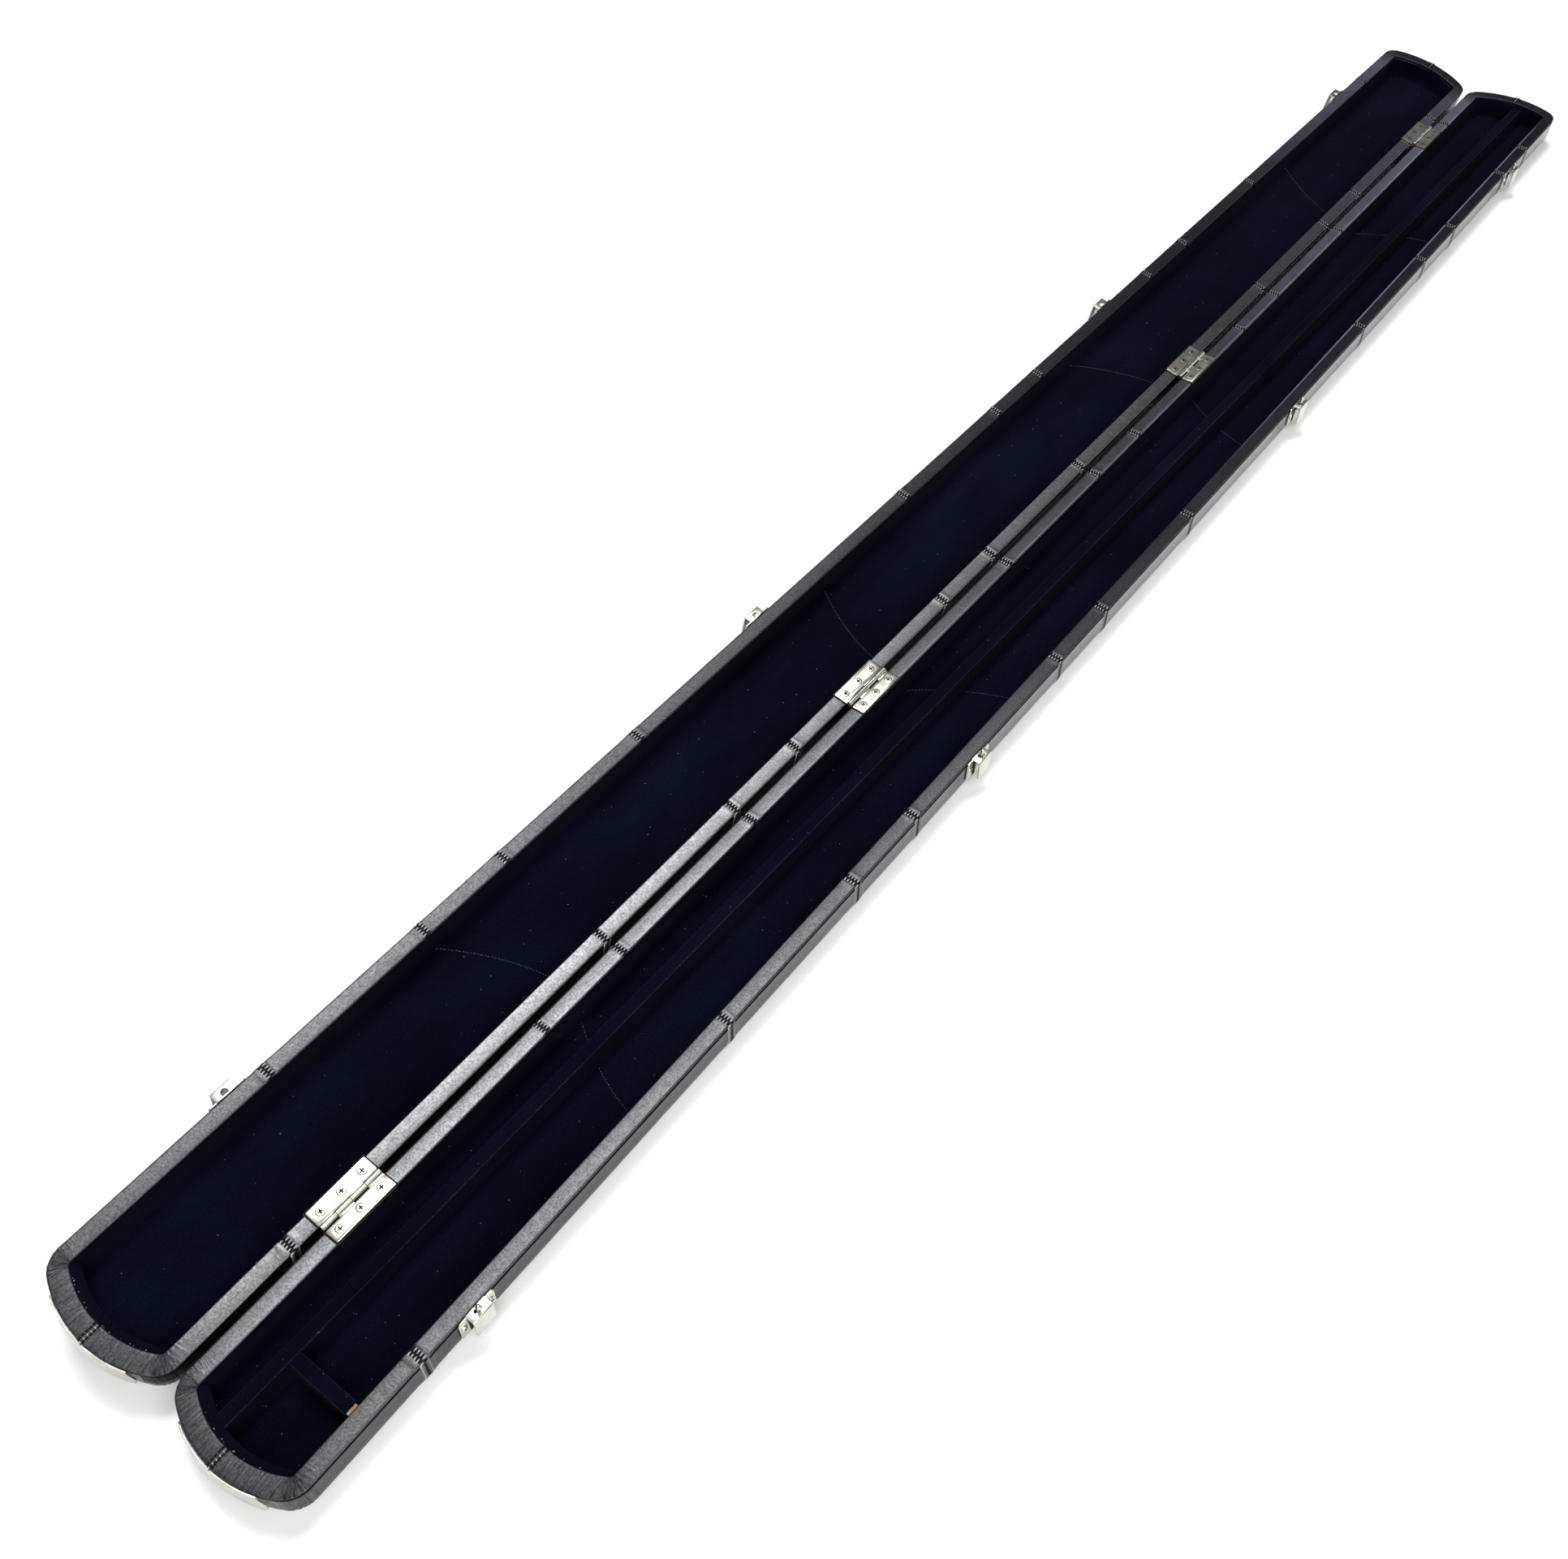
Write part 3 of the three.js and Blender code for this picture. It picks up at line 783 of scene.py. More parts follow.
def leather_rows(depth):
    """Half of the leather's section: rolled inner edge, rim, piping groove, wall and bottom edge."""
    rows = [Row(0, 0.3, 0, -3.0, -90), Row(0, 0.05, 0, -1.6, -90)]
    for angle in (0, 25, 50, 75, 90):
        a = math.radians(angle)
        rows.append(Row(0, INNER_ROLL * (math.cos(a) - 1), 0, INNER_ROLL * (math.sin(a) - 1), angle - 90))
    for across in (0.15, 0.3, 0.45, 0.6, 0.75, 0.9):
        crown = 0.12 * math.sin(math.pi * across)
        rows.append(Row(across, -INNER_ROLL, OUTER_ROLL, crown, 0))
    for angle in (0, 30, 60, 90):
        a = math.radians(angle)
        rows.append(Row(1, 0, OUTER_ROLL * (1 - math.sin(a)), OUTER_ROLL * (math.cos(a) - 1), angle))
    groove = [(0.5, -1.1, 150), (1.5, -1.25, 120), (1.6, -2.1, 60), (0.5, -2.35, 30), (0.1, -2.7, 60)]
    rows += [Row(1, 0, inset, z, lean) for inset, z, lean in groove]
    wall_bottom = EDGE_RADIUS - depth
    rows += [Row(1, 0, 0, z, 90) for z in np.linspace(GROOVE_BOTTOM - 0.5, wall_bottom, 7)]
    for angle in (12, 24, 36, 48, 60, 75, 90):
        a = math.radians(angle)
        inset = EDGE_RADIUS * (1 - math.cos(a))
        rows.append(Row(1, 0, inset, wall_bottom - EDGE_RADIUS * math.sin(a), 90 + angle))
    return rows


def seams_at(tray, side):
    """Where the seams cross a tray's +x rail (side 1) or its -x rail (side -1)."""
    return sorted(SEAMS_BOTH + (SEAMS_RIGHT if side > 0 else SEAMS_LEFT[tray.name]))


def seam_relief(offset):
    """The height of the leather near a seam: puffed on both sides and pulled down along the stitches."""
    ridge = 0.22 * np.exp(-(((np.abs(offset) - 3.6) / 1.6) ** 2))
    valley = 0.2 * np.exp(-((offset / 2.4) ** 2))
    return ridge - valley


def patch_tones(tray, y, side, seed):
    """A slightly different tone for each patch of leather between two seams."""
    seams = seams_at(tray, side)
    dice = random.Random(seed)
    tones = np.array([dice.uniform(0.82, 1.18) for _ in range(len(seams) + 1)])
    return tones[np.searchsorted(seams, y)]


def painted_tip_light(tray, side, y):
    """How much lighter the hide is painted than at the butt end: painted light towards the tip, most on
    the base's hinge side.
    """
    if side == tray.hinge_side:
        most, start = (9.0, 60) if tray is BASE else (4.0, 250)
    else:
        most, start = (1.0, 0) if tray is BASE else (8.0, 380)
    return 1 + (most - 1) * smooth_step(y, start, 800) * (1 - smooth_step(y, 730, 765))


def rail_reflection(tray, side, y):
    """How glossy the rim is, set along the case as a painted reflection strength, with the outer rails
    set duller.
    """
    rail = np.interp(y, REFLECTION_STATIONS, RAIL_REFLECTION[tray.name][side == tray.hinge_side])
    end = smooth_step(np.abs(y), HALF_LENGTH - 50, HALF_LENGTH - 8)
    return rail * (1 - end) + np.where(y < 0, 0.46, 0.15) * end


def side_masks(count, rows):
    """Each side of a tray, with which points of its whole section are on it."""
    place = np.arange(count)
    return [(1, place < len(rows)), (-1, place >= count - len(rows))]


def leather_finish(tray, points, facing, sides, seed):
    """The hide's tone and gloss at every point, painted light and shade included, and which points are on
    the outer walls.
    """
    x, y, z = np.moveaxis(points, 2, 0)
    tone = np.ones(y.shape)
    shine = np.full(y.shape, 0.45)
    for side, mask in sides:
        # The hide is painted lighter towards the tip: painted light.
        tone[:, mask] = patch_tones(tray, y[:, mask], side, seed) * painted_tip_light(tray, side, y[:, mask])
        # The rails' gloss is a painted reflection strength along the case, dulled near the seams.
        shine[:, mask] = rail_reflection(tray, side, y[:, mask])
        for seam in seams_at(tray, side):
            shine[:, mask] *= 1 - 0.6 * np.exp(-(((y[:, mask] - seam) / SEAM_HALF_WIDTH) ** 4))
    walls = (z < WALL_TOP) & (np.abs(facing) < 0.9)
    # The walls' gloss is also a painted reflection strength, set along the case.
    shine[walls] = np.interp(y[walls], REFLECTION_STATIONS, WALL_REFLECTION)
    # Painted shade: the walls' bottom rounding loses its reflection towards the butt end.
    under = walls & (z < EDGE_RADIUS - tray.depth)
    shine[under] *= smooth_step(y[under], -800, -440)
    # Painted shade for the dark gap between the trays: the hinge-side wall is darkened and dulled, at
    # full strength above z = -12 and at 60 percent below z = -17.
    hinge_wall = (z < WALL_TOP) & (x * tray.hinge_side > 30)
    gap_shade = 0.6 + 0.4 * smooth_step(z[hinge_wall], -17, -12)
    shine[hinge_wall] *= 1 - 0.97 * gap_shade
    tone[hinge_wall] *= 1 - 0.9 * gap_shade
    # Painted shade in the piping groove under the rim: very dark and nearly without gloss.
    groove = (z < GROOVE_TOP) & (z > GROOVE_BOTTOM)
    shine[groove] = 0.04
    tone[groove] = 0.15
    # Painted highlight: the base's inner-edge crest is painted lighter, on the +x rail from about y = 60
    # and on the -x rail from about y = -480, fading out before the tip.
    if tray is BASE:
        crest = np.isin(np.arange(y.shape[1]), HIGHLIGHT_ROWS)
        highlight_fade = 1 - smooth_step(y, 690, 750)
        tone += 20 * highlight_fade * crest * smooth_step(y, 60, 380)
        tone += 9 * highlight_fade * crest[::-1] * smooth_step(y, -480, -250)
    return tone, shine, walls


def leather_gather(facing):
    """How much the leather is gathered into pleats at every point: most at the butt end's corners."""
    length = arc_length()
    from_corner = np.minimum(length, length[-1] - length) - CORNER_AT
    gather = 0.26 * (1 - smooth_step(from_corner, 6, 22)) + 0.4 * np.exp(-((from_corner / 8.0) ** 2))
    gather *= np.where(length < length[-1] / 2, 1.0, 0.5)
    return gather[:, None] * (facing > -0.95)


def leather_relief(tray, points, sides, pleats):
    """How far every point stands out: seams, creases beside the end stitches, and given pleats."""
    x, y, z = np.moveaxis(points, 2, 0)
    relief = np.zeros(y.shape)
    between = ~(sides[0][1] | sides[1][1])
    places = [(seams_at(tray, side), mask) for side, mask in sides] + [(SEAMS_BOTH, between)]
    for seams, mask in places:
        for seam in seams:
            relief[:, mask] += seam_relief(y[:, mask] - seam)
    relief += 0.25 * np.exp(-(((np.abs(x) - 2.2) / 0.8) ** 2)) * (np.abs(y) > 740)
    relief += pleats
    low = z < 1.0 - tray.depth
    relief[low] = np.minimum(relief[low], 0.0)
    return relief


def leather_cover(tray, seed):
    """The whole patchwork covering of one tray, from under the velvet's edge to the bottom."""
    rows = leather_rows(tray.depth)
    points, leans = section_grid(rows, LEATHER_BOTTOM_STEPS)
    facing = leans[:, :, 2]
    sides = side_masks(points.shape[1], rows)
    tone, shine, walls = leather_finish(tray, points, facing, sides, seed)
    gather = leather_gather(facing)
    along = arc_length()[:, None] + np.zeros(facing.shape)
    across = np.arange(facing.shape[1]) + np.zeros(facing.shape)
    pleat_place = np.stack([along / 1.5, np.sign(points[:, :, 0]) * 3, across / 16], 2)
    pleats = 0.4 * gather * drift(pleat_place, 1.0, seed) * (np.abs(facing) > 0.05)
    pleats += 0.05 * drift(points, 26.0, seed + 5) + 0.05 * drift(points, 7.0, seed + 9)
    relief = leather_relief(tray, points, sides, pleats)
    floats = {
        "along": along, "across": across, "gather": gather,
        "tone": tone, "shine": shine, "polish": walls,
    }
    shaped = points + leans * relief[:, :, None]
    piece = make_skin(f"{tray.name}_leather", shaped, tray, LEATHER_LOOK, floats)
    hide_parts(f"{tray.name}_leather_bottom", f"{tray.name}_leather_sides")


# ---------------------------------------------------------------- stitching


def stitch(start, end, up, radius, arch, knot=1.0):
    """One thread from hole to hole: it dips in at both ends, knot times as thick, and arches between."""
    start, end, up = Vector(start), Vector(end), Vector(up).normalized()
    run = (end - start).normalized()
    side = run.cross(up).normalized()
    verts = []
    shares = (0.0, 0.04, 0.2, 0.4, 0.6, 0.8, 0.96, 1.0)
    for share in shares:
        near_hole = share < 0.3 or share > 0.7
        thick = radius * (knot if near_hole else 1.0) * (0.5 if share in (0.0, 1.0) else 1.0)
        centre = start.lerp(end, share) + up * arch * math.sin(math.pi * share)
        for k in range(6):
            angle = math.pi * k / 3
            verts.append(centre + (side * math.cos(angle) + up * math.sin(angle)) * thick)
    faces = band_faces(len(shares), 6)
    faces.append(list(range(5, -1, -1)))
    faces.append(list(range(len(verts) - 6, len(verts))))
    return verts, faces


def pucker(centre, up, length, width, height):
    """A smooth low bump of leather squeezed up between two stitches, lengthwise along y."""
    centre, up = Vector(centre), Vector(up).normalized()
    run = Vector((0, 1, 0))
    side = run.cross(up).normalized()
    verts = []
    for ring in (0.0, 0.3, 0.6, 0.85):
        out = math.cos(ring * math.pi / 2)
        rise = height * math.sin(ring * math.pi / 2) if ring else -0.25
        for k in range(8):
            angle = math.pi * k / 4
            reach = run * (length / 2 * math.cos(angle) * out)
            reach += side * (width / 2 * math.sin(angle) * out)
            verts.append(centre + reach + up * rise)
    verts.append(centre + up * height)
    faces = [list(range(7, -1, -1))] + band_faces(4, 8)
    faces += [[24 + k, 24 + (k + 1) % 8, 32] for k in range(8)]
    return verts, faces


def zigzag(parts, puckers, path):
    """Stitches back and forth across a seam, with the leather puckered up in each of their bends.

    path lists (point, up) places along the seam, one for each hole.
    """
    sides = [1 if k % 2 else -1 for k in range(len(path))]
    for k in range(len(path) - 1):
        start = Vector(path[k][0]) + Vector((0, sides[k] * SEAM_HALF_WIDTH, 0))
        end = Vector(path[k + 1][0]) + Vector((0, sides[k + 1] * SEAM_HALF_WIDTH, 0))
        parts.add(stitch(start, end, path[k][1], 0.36, 0.15, 1.4))
    for (point, up), side in list(zip(path, sides))[1:-1]:
        centre = Vector(point) - Vector((0, side * 1.6, 0))
        puckers.add(pucker(centre, up, 3.0, 1.15, 0.5))


def seam_path(tray, side, y, full):
    """Evenly spaced places along a seam, over the rim, down the wall and under the bottom edge."""
    outer = OUTER.half_width
    wall_bottom = EDGE_RADIUS - tray.depth
    path = []
    for x in np.arange(CAVITY.half_width + 0.5, outer - 0.3, SEAM_PITCH):
        path.append(((side * x, y, SEAM_LIFT), (0, 0, 1)))
    for z in np.arange(GROOVE_TOP, wall_bottom, -SEAM_PITCH):
        path.append(((side * (outer + SEAM_LIFT), y, z), (side, 0, 0)))
    steps = int(EDGE_RADIUS * math.pi / 2 / SEAM_PITCH)
    reach = EDGE_RADIUS + SEAM_LIFT
    for k in range(steps if full else steps // 2):
        a = math.pi / 2 * (k + 0.5) / steps
        x = outer - EDGE_RADIUS + reach * math.cos(a)
        z = wall_bottom - reach * math.sin(a)
        if z > 0.45 - tray.depth:
            path.append(((side * x, y, z), (side * math.cos(a), 0, -math.sin(a))))
    return path


def leather_stitching(tray):
    """The zigzag seams of the rails and the two short rows of stitches in the middle of each end."""
    parts = Parts()
    puckers = Parts()
    for side in (1, -1):
        for y in seams_at(tray, side):
            zigzag(parts, puckers, seam_path(tray, side, y, y in SEAMS_BOTH))
    for end in (-1, 1):
        for k in range(5):
            start = CAVITY.apex + 0.3 + END_STITCH_PITCH * k
            for x in (-1.25, 1.25):
                near = Vector((x, end * start, 0.1))
                parts.add(stitch(near, near + Vector((0, end * 1.6, 0)), (0, 0, 1), 0.5, 0.1, 1.3))
            puckers.add(pucker((0.2, end * (start + 1.8), 0), (0, 0, 1), 1.0, 1.3, 0.35))
    parts.make(f"{tray.name}_leather_stitching", tray.matrix, BLACK_THREAD, tray.name)
    puckers.make(f"{tray.name}_leather_puckers", tray.matrix, PUCKER_HIGHLIGHT_LOOK, tray.name)


def velvet_seam_line(middle, rise):
    """The (x, y) places of one slanting, slightly bowed seam in the velvet floor."""
    reach = CAVITY.half_width
    xs = np.arange(-reach + 1.5, reach - 1.5, 1.7)
    bow = math.copysign(VELVET_SEAM_BOW, rise)
    return [(x, middle + rise * x / (2 * reach) + bow * (1 - (x / reach) ** 2)) for x in xs]


def velvet_stitching(tray):
    """The short threads along the seams of the velvet floor, with none under the long divider."""
    parts = Parts()
    height = 0.12 - CAVITY_DEPTH
    for middle, rise in VELVET_SEAMS[tray.name]:
        line = velvet_seam_line(middle, rise)
        for k, ((x, y), (next_x, next_y)) in enumerate(zip(line, line[1:])):
            if tray is BASE and abs(x - divider_x(y)) < DIVIDER_WIDTH / 2 + 1:
                continue
            shift = 0.3 * (1 if k % 2 else -1)
            start = Vector((x, y + shift, height))
            end = Vector((next_x, next_y - shift, height))
            parts.add(stitch(start, start.lerp(end, 0.62), (0, 0, 1), 0.2, 0.15))
    parts.make(f"{tray.name}_velvet_stitching", tray.matrix, VELVET_THREAD, tray.name)


# ---------------------------------------------------------------- velvet


def divider_x(y):
    """Where the middle of the slanting long divider is across the case."""
    return DIVIDER_OFFSET + DIVIDER_SLOPE * y


def velvet_rows():
    """Half of the lining's section: tucked under the rim, down the wall and round into the floor."""
    foot = 2.2
    rows = [Row(0, -0.5, 0, -1.5, -90)]
    rows += [Row(0, 0.25, 0, z, -90) for z in (-2.0, -3.2, -5.0, -8.0, -11.0, -14.0)]
    for angle in (0, 25, 50, 75, 90):
        a = math.radians(angle)
        inset = 0.25 + foot * (1 - math.cos(a))
        rows.append(Row(0, inset, 0, -CAVITY_DEPTH + foot * (1 - math.sin(a)), angle - 90))
    return rows


def velvet_lining(tray, seed):
    """The velvet in one tray, with a padded cove inside the butt end."""
    points, leans = section_grid(velvet_rows(), VELVET_FLOOR_STEPS)
    x, y, z = np.moveaxis(points, 2, 0)
    cove = COVE_DEPTH * (1 - smooth_step(arc_length()[:, None], CORNER_AT - 4, CORNER_AT + 18))
    sunk = smooth_step(-z, 1.2, 4.0) * smooth_step(z, 0.1 - CAVITY_DEPTH, 5 - CAVITY_DEPTH)
    relief = 0.22 * drift(points, 34.0, seed) + 0.10 * drift(points, 9.0, seed + 3)
    for middle, rise in VELVET_SEAMS[tray.name]:
        seam_x, seam_y = zip(*velvet_seam_line(middle, rise))
        offset = y - np.interp(x, seam_x, seam_y)
        relief -= 0.3 * np.exp(-((offset / 2.4) ** 2)) * (leans[:, :, 2] > 0.9)
    shaped = points.copy()
    shaped[:, :, 1] += cove * sunk
    shaped += leans * relief[:, :, None]
    piece = make_skin(f"{tray.name}_velvet", shaped, tray, VELVET_LOOK)
    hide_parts(f"{tray.name}_velvet_lining")


def glue_crumbs(tray, seed):
    """Small beads of dried glue along the velvet's edge inside the butt end."""
    parts = Parts()
    dice = random.Random(seed)
    for _ in range(CRUMB_COUNT):
        bead = bmesh.new()
        bmesh.ops.create_icosphere(bead, subdivisions=2, radius=dice.uniform(0.12, 0.3))
        x = dice.uniform(-CRUMB_REACH, CRUMB_REACH)
        y = -cavity_end(x) + dice.uniform(-0.1, 0.5)
        stretch = Matrix.Diagonal((dice.uniform(0.8, 1.6), dice.uniform(0.7, 1.2), 0.8, 1))
        spot = Matrix.Translation((x, y, -1.2 - dice.uniform(0, 1.2)))
        parts.add(shell_of(bead), spot @ stretch)
    parts.make(f"{tray.name}_glue_crumbs", tray.matrix, GLUE_LOOK, tray.name, 80)


def bar_section(half_width, top, bottom, radius):
    """The section of a padded bar: (across, z) points with rounded top edges."""
    points = [(half_width, bottom)]
    for angle in (0, 22, 45, 68, 90):
        a = math.radians(angle)
        points.append((half_width - radius + radius * math.cos(a), top - radius + radius * math.sin(a)))
    for share in (0.5, 0.0, -0.5):
        points.append((share * half_width, top))
    return points + [(-across, z) for across, z in points[5::-1]]


def padded_bar(name, place, steps, half_width, top, bottom, seed):
    """A velvet-covered bar whose rounded top edges are paler than the rest.

    place(t, across) gives the (x, y) of a point at share t of the bar's length.
    """
    section = bar_section(half_width, top, bottom, 0.8)
    verts = []
    for j in range(steps + 1):
        for across, z in section:
            x, y = place(j / steps, across)
            wobble = noise.noise(Vector((x / 14, y / 14, z / 9)) + Vector((seed, 0, 0)))
            raised = 0.25 * wobble if z > bottom else 0.0
            verts.append((x, y, z + raised))
    count = len(section)
    faces = band_faces(steps + 1, count)
    faces.append(list(range(count)))
    faces.append(list(range(len(verts) - 1, len(verts) - 1 - count, -1)))
    piece = make_piece(name, verts, faces, BASE.matrix, [VELVET_LOOK, PALE_EDGE_LOOK], "base")
    tidy_mesh(piece, 50)
    for face in piece.data.polygons:
        face.material_index = int(0.25 < face.normal.z < 0.95)
    return piece


def cavity_end(x):
    """How far along y the cavity's bowed end lies at x."""
    return CAVITY.apex - CAVITY.end_radius + math.sqrt(CAVITY.end_radius**2 - x**2) - 0.3


def dividers():
    """The padded covers of the long slanting divider and the short cross divider."""
    top = -DIVIDER_DROP
    bottom = -CAVITY_DEPTH + 0.05

    def along_case(t, across):
        rough_y = (2 * t - 1) * (CAVITY.apex - 2)
        x = divider_x(rough_y) + across
        return x, (2 * t - 1) * cavity_end(x)

    cover = padded_bar("long_divider_cover", along_case, 320, DIVIDER_WIDTH / 2, top, bottom, 3)
    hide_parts("long_divider_velvet")

    low, high = (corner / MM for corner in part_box("cross_divider_velvet"))

    def across_case(t, across):
        return low.x + (high.x - low.x) * t, (low.y + high.y) / 2 - across

    cover = padded_bar("cross_divider_cover", across_case, 24, (high.y - low.y) / 2, top, bottom, 8)
    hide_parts("cross_divider_velvet")


# ---------------------------------------------------------------- screws


def cross_screw(radius, rise, sink):
    """A screw head about the z axis with a cross recess; its rim is at z = 0."""
    profile = [(0.0, -sink), (radius * 0.6, -sink), (radius, -0.05)]
    for angle in (0, 22, 45, 67):
        a = math.radians(angle)
        profile.append((radius * math.cos(a) ** 0.8 if angle else radius, rise * math.sin(a)))
    profile.append((0.0, rise))
    arm = radius * 0.6
    width = radius * 0.17
    depth = max(rise - 0.45 * radius, 0.1 - sink)
    arms = [
        sweep_box(-arm, arm, -width, width, depth, rise + 1),
        sweep_box(-width, width, -arm, arm, depth, rise + 1),
    ]
    return carve(lathe(profile, ROUND_STEPS), arms)


def hinge_screw_spots(tray, y):
    """The places in the hinge's frame of the three screws in one leaf."""
    return [(-tray.hinge_side * HINGE_SCREW_X, y + k * HINGE_SCREW_SPACING) for k in (-1, 0, 1)]


def hinge_screws(tray, number, y, screw):
    """Three countersunk screws in a hinge leaf, turned to different angles."""
    parts = Parts()
    dice = random.Random(int(abs(y)) + tray.hinge_side)
    for spot in hinge_screw_spots(tray, y):
        place = Matrix.Translation((*spot, LEAF_TOP + 0.02))
        parts.add(screw, place @ Matrix.Rotation(dice.uniform(-0.25, 0.25), 4, "Z"))
    name = f"hinge_{number}_{tray.name}_screws"
    parts.make(name, hinge_frame(tray), METAL_LOOKS, tray.name, 35)


def hinge_frame(tray):
    """The frame of a tray's rim plane with x = 0 on the pin line."""
    if tray is BASE:
        return Matrix.Translation((PIN.x, 0, BASE_DEPTH))
    return LID_HINGE_MATRIX @ Matrix.Translation((0, 0, -PIN_RISE))


# ---------------------------------------------------------------- hinges


def knuckle(length):
    """One rolled knuckle about the z axis, open in the middle for the pin."""
    edge = KNUCKLE_RADIUS - KNUCKLE_EDGE
    profile = [
        (KNUCKLE_BORE, 0),
        (edge, 0),
        (KNUCKLE_RADIUS, KNUCKLE_EDGE),
        (KNUCKLE_RADIUS, length - KNUCKLE_EDGE),
        (edge, length),
        (KNUCKLE_BORE, length),
    ]
    return lathe(profile, ROUND_STEPS)


def hinge_leaf(tray, number, y):
    """A leaf with rounded corners on the rim, wrapped round the pin at every second knuckle."""
    low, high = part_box(f"hinge_{number}_pin")
    length = (high.y - low.y) / MM
    near = y - length / 2
    start = KNUCKLE_RADIUS + (0.9 if tray is BASE else 0.3)

    def span(inner, outer):
        return sorted((-tray.hinge_side * inner, -tray.hinge_side * outer))

    parts = Parts()
    plate = rounded_rectangle(*span(start, HINGE_REACH), near, near + length, FITTING_CORNER)
    holes = [round_bar(SCREW_HOLE, *spot, -1, 2) for spot in hinge_screw_spots(tray, y)]
    parts.add(carve(slab(plate, LEAF_BOTTOM, LEAF_TOP, 0.14), holes))
    # Painted shadow: a near-black sheet under the leaf that shows round its edges.
    shadow_span = span(LEAF_SHADOW_START, HINGE_REACH + LEAF_SHADOW_EDGE)
    shadow_outline = rounded_rectangle(*shadow_span, near - LEAF_SHADOW_EDGE, near + length + LEAF_SHADOW_EDGE, FITTING_CORNER)
    parts.add(slab(shadow_outline, -0.4, LEAF_BOTTOM - 0.02), number=1)
    pitch = length / KNUCKLE_COUNT
    link = span(0.9, start + 0.6)
    for k in range(int(tray is BASE), KNUCKLE_COUNT, 2):
        low = near + k * pitch + KNUCKLE_GAP
        high = near + (k + 1) * pitch - KNUCKLE_GAP
        parts.add(sweep_box(*link, low, high, LEAF_BOTTOM + 0.02, LEAF_TOP - 0.02, 0.05))
        lay = Matrix.Translation((0, low, PIN_RISE)) @ Matrix.Rotation(-math.pi / 2, 4, "X")
        parts.add(knuckle(high - low), lay)
    name = f"hinge_{number}_{tray.name}_plate"
    piece = parts.make(name, hinge_frame(tray), METAL_LOOKS, tray.name, 35)
    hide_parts(f"hinge_{number}_{tray.name}_leaf")


# ---------------------------------------------------------------- latches


def latch_frame(tray, y):
    """A latch's frame: x = 0 on the latch wall pointing out, y = 0 at its middle, z = 0 on the rim."""
    if tray is BASE:
        return BASE.matrix @ Matrix.Translation((HALF_WIDTH, y, 0))
    return LID.matrix @ Matrix.Translation((-HALF_WIDTH, y, 0)) @ Matrix.Rotation(math.pi, 4, "Z")


def hood_shell():
    """The folded hood: a top that bends down into the front apron, as one sheet."""
    outside = [(FITTING_GAP, 0.0)]
    bend = 0.9
    for angle in (90, 68, 45, 22, 0):
        a = math.radians(angle)
        outside.append((HOOD_REACH - bend + bend * math.cos(a), -bend + bend * math.sin(a)))
    outside.append((HOOD_REACH, -HOOD_HEIGHT))
    inside = [(HOOD_REACH - HOOD_SHEET, -HOOD_HEIGHT), (HOOD_REACH - HOOD_SHEET, -bend - 0.1)]
    inside += [(HOOD_REACH - bend - 0.1, -HOOD_SHEET), (FITTING_GAP, -HOOD_SHEET)]
    verts, faces = slab(outside + inside, -HOOD_LENGTH / 2, HOOD_LENGTH / 2, 0.12)
    return [Vector((v[0], v[2], v[1])) for v in verts], faces


def latch_plate():
    """The back plate on the wall, with rounded screw tabs."""
    half = LATCH_PLATE_LENGTH / 2
    outline = rounded_rectangle(-half, half, -HOOD_HEIGHT - 1, -0.5, 1.2)
    verts, faces = slab(outline, FITTING_GAP, FITTING_GAP + HOOD_SHEET, 0.15)
    return [Vector((v[2], v[0], v[1])) for v in verts], faces


def hood_shadow():
    """A near-black sheet on the back plate inside the hood: painted shade."""
    half = HOOD_LENGTH / 2 - 0.3
    face = FITTING_GAP + HOOD_SHEET
    return sweep_box(face - 0.1, face + 0.06, -half, half, -HOOD_HEIGHT - 0.6, -HOOD_SHEET - 0.3)


def latch_hoods():
    """The base's hood, with a hole for the catch, and the lid's, with a round-ended slot."""
    roundel = LID_SLOT_END - LID_SLOT_RADIUS
    hole = [round_bar(CATCH_HOLE_RADIUS, CATCH_X, 0, -2, 1)]
    slot = [
        round_bar(LID_SLOT_RADIUS, roundel, 0, -2, 1),
        sweep_box(LID_SLOT_START, roundel, -LID_SLOT_RADIUS, LID_SLOT_RADIUS, -2, 1),
    ]
    return {"base": carve(hood_shell(), hole)[:2], "lid": carve(hood_shell(), slot)[:2]}


def latch_cover(tray, number, y, hood, screw):
    """A latch's half on one tray: the hood, its back plate and two round-head screws."""
    parts = Parts()
    parts.add(hood)
    parts.add(latch_plate())
    parts.add(hood_shadow(), number=1)
    face_out = Matrix.Rotation(math.pi / 2, 4, "Y")
    dice = random.Random(number)
    for end in (-1, 1):
        spot = (FITTING_GAP + HOOD_SHEET, end * LATCH_SCREW_SPACING / 2, -HOOD_HEIGHT / 2)
        turn = Matrix.Rotation(dice.uniform(0, math.pi), 4, "Z")
        parts.add(screw, Matrix.Translation(spot) @ face_out @ turn)
    name = f"latch_{number}_{tray.name}_cover"
    piece = parts.make(name, latch_frame(tray, y), METAL_LOOKS, tray.name, 35)
    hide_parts(f"latch_{number}_{tray.name}_hood")


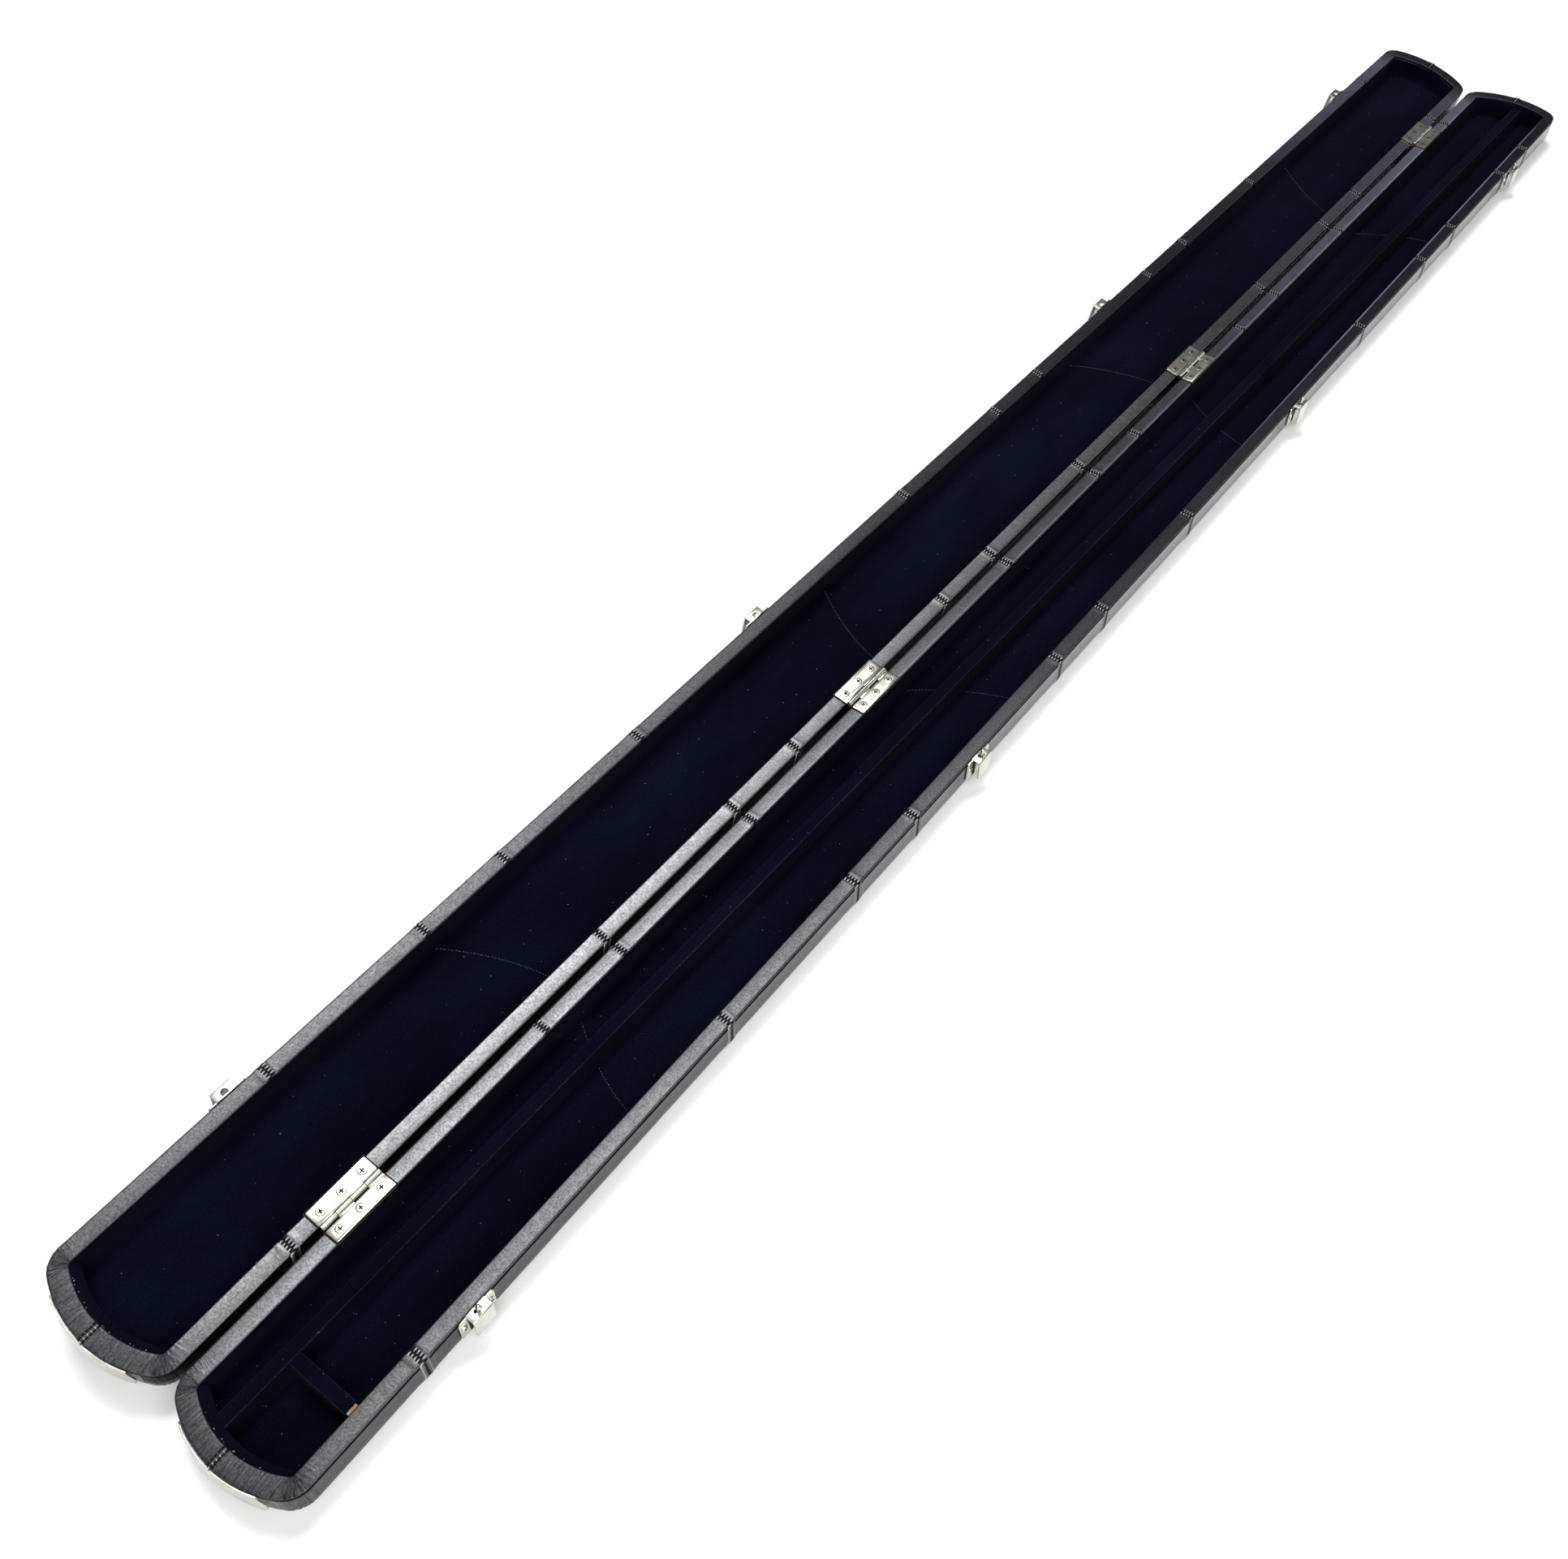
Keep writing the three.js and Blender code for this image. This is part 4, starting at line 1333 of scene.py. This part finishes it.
def latch_catch(number, y):
    """The sprung catch: a slide under the base hood and a stem with a domed, overhanging head."""
    parts = Parts()
    slide_top = -HOOD_SHEET - 0.3
    parts.add(sweep_box(CATCH_X - 0.35, CATCH_X + 1.8, -4.5, 4.5, slide_top - 2.2, slide_top, 0.15))
    stem_x = CATCH_X + 0.3
    parts.add(round_bar(CATCH_STEM_RADIUS, stem_x, 0, slide_top - 0.5, CATCH_RISE - 0.8))
    bottom = CATCH_RISE - 2 * CATCH_DOME
    dome = CATCH_RISE - CATCH_DOME
    head = CATCH_HEAD_RADIUS
    profile = [(0.0, bottom), (head - 0.15, bottom), (head, bottom + 0.15), (head, dome)]
    for angle in (20, 40, 60, 80):
        a = math.radians(angle)
        profile.append((head * math.cos(a), dome + CATCH_DOME * math.sin(a)))
    profile.append((0.0, CATCH_RISE))
    parts.add(lathe(profile, ROUND_STEPS), Matrix.Translation((stem_x + 0.4, 0, 0)))
    name = f"latch_{number}_catch_pin"
    piece = parts.make(name, latch_frame(BASE, y), NICKEL_LOOK, f"catch_{number}", 35)
    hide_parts(f"latch_{number}_catch")


# ---------------------------------------------------------------- end plates


def strip_outline():
    """The outline of a flat end strip with hooked ends, as (distance round the end, z) points."""
    half = END_STRIP_LENGTH / 2
    top = -LEATHER
    bottom = top - END_STRIP_HEIGHT
    corner = [(half - 4.0, top), (half - 3.4, top - 2.2), (half - 1.2, top - 4.6)]
    corner += [(half, top - 6.0), (half - 0.4, bottom + 1.2), (half - 1.6, bottom)]
    return corner[::-1] + [(-s, z) for s, z in corner]


def cut_across(shell, places):
    """Cuts a shell's faces at places along x, so that it can be bent smoothly."""
    bm = bmesh.new()
    made = [bm.verts.new(v) for v in shell[0]]
    for face in shell[1]:
        bm.faces.new([made[i] for i in face])
    for place in places:
        geometry = bm.verts[:] + bm.edges[:] + bm.faces[:]
        bmesh.ops.bisect_plane(bm, geom=geometry, plane_co=(place, 0, 0), plane_no=(1, 0, 0))
    return shell_of(bm)


def wrap_on_end(s, z, out):
    """Where a point of the flat strip lies once it is bent round the butt end and flared."""
    angle = s / OUTER.end_radius
    reach = OUTER.end_radius + out - END_STRIP_FLARE * (z + LEATHER) / END_STRIP_HEIGHT
    middle = OUTER.end_radius - OUTER.apex
    return Vector((reach * math.sin(angle), middle - reach * math.cos(angle), z))


def end_plate(tray, screw):
    """The curved strip on the butt end's wall, with hooked ends and two screws."""
    half = END_STRIP_LENGTH / 2
    flat = slab(strip_outline(), FITTING_GAP, FITTING_GAP + 1.0, 0.14)
    verts, faces = cut_across(flat, np.arange(-half + 1.5, half, 1.5))
    parts = Parts()
    parts.add(([wrap_on_end(*v) for v in verts], faces))
    screw_z = -LEATHER - END_STRIP_HEIGHT / 2 - 0.6
    for side in (-1, 1):
        s = side * END_STRIP_SCREW
        turn = Matrix.Rotation(s / OUTER.end_radius, 4, "Z") @ Matrix.Rotation(math.pi / 2, 4, "X")
        spot = Matrix.Translation(wrap_on_end(s, screw_z, 1.0))
        parts.add(screw, spot @ turn @ Matrix.Rotation(0.4 * side, 4, "Z"))
    piece = parts.make(f"{tray.name}_end_strip", tray.matrix, METAL_LOOKS, tray.name, 20)
    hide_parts(f"{tray.name}_end_plate")


# ---------------------------------------------------------------- assembly


def finish_cad_nodes():
    """Gives the CAD nodes that stay in sight their finish."""
    for name, node in frame["nodes"].items():
        fitting = ("hinge" in name or "latch" in name) and "rail" not in name
        node.data.materials.clear()
        node.data.materials.append(NICKEL_LOOK if fitting else WOOD_LOOK)


def studio():
    """A pale floor and soft light from high on the left."""
    bpy.ops.mesh.primitive_plane_add(size=30, location=(0, 0, -FLOOR_DROP * MM))
    floor = bpy.context.object
    floor.name = "floor"
    floor.data.materials.append(floor_material())

    world = bpy.data.worlds.new("studio")
    bpy.context.scene.world = world
    world.use_nodes = True
    background = world.node_tree.nodes["Background"]
    background.inputs["Color"].default_value = (0.9, 0.94, 1.0, 1.0)
    background.inputs["Strength"].default_value = 0.027

    softbox("key_light", (-0.72, 0.42, 2.6), (0, 0, 0), 1.6, 0.95, 83)
    softbox("fill_light", (1.7, -1.5, 1.9), (0, 0, 0), 2.8, 2.8, 118)
    softbox("back_panel", (-0.6, 4.2, 1.6), (0, 0, 0.2), 4.0, 2.2, 3.7)
    softbox("edge_panel", (2.6, 3.0, 0.8), (0, 0.2, 0), 2.4, 1.2, 26)


def photo_camera():
    """The camera in the place that the photo was taken from, with the photo's framing."""
    lens = bpy.data.cameras.new("camera")
    lens.sensor_width = 36.0
    lens.lens = 35.90
    lens.shift_x = 0.0152
    lens.shift_y = 0.0192
    lens.clip_end = 100.0
    camera = bpy.data.objects.new("camera", lens)
    camera.location = (0.31883, -0.79436, 0.72672)
    camera.rotation_euler = [math.radians(angle) for angle in (39.53, 0.10, 37.59)]
    bpy.context.scene.collection.objects.link(camera)
    bpy.context.scene.camera = camera
    bpy.context.scene.view_settings.view_transform = "Standard"


def softbox(name, place, target, width, height, power):
    """A rectangular lamp that faces a target."""
    light = bpy.data.lights.new(name, "AREA")
    light.shape = "RECTANGLE"
    light.size = width
    light.size_y = height
    light.energy = power
    lamp = bpy.data.objects.new(name, light)
    lamp.location = place
    aim = Vector(target) - Vector(place)
    lamp.rotation_euler = aim.to_track_quat("-Z", "Y").to_euler()
    bpy.context.scene.collection.objects.link(lamp)


def build():
    """Makes every piece."""
    finish_cad_nodes()
    flush_screw = cross_screw(SCREW_RADIUS, 0.1, 0.72)
    round_screw = cross_screw(LATCH_SCREW_RADIUS, 1.1, 0.3)
    for seed, tray in enumerate(TRAYS, 11):
        leather_cover(tray, seed)
        leather_stitching(tray)
        velvet_lining(tray, seed + 20)
        velvet_stitching(tray)
        glue_crumbs(tray, seed + 40)
        end_plate(tray, flush_screw)
    dividers()
    for number, y in enumerate(HINGE_STATIONS, 1):
        for tray in TRAYS:
            hinge_leaf(tray, number, y)
        for tray in TRAYS:
            hinge_screws(tray, number, y, flush_screw)
    hoods = latch_hoods()
    for number, y in enumerate(LATCH_STATIONS, 1):
        for tray in TRAYS:
            latch_cover(tray, number, y, hoods[tray.name], round_screw)
        latch_catch(number, y)


studio()
photo_camera()
build()
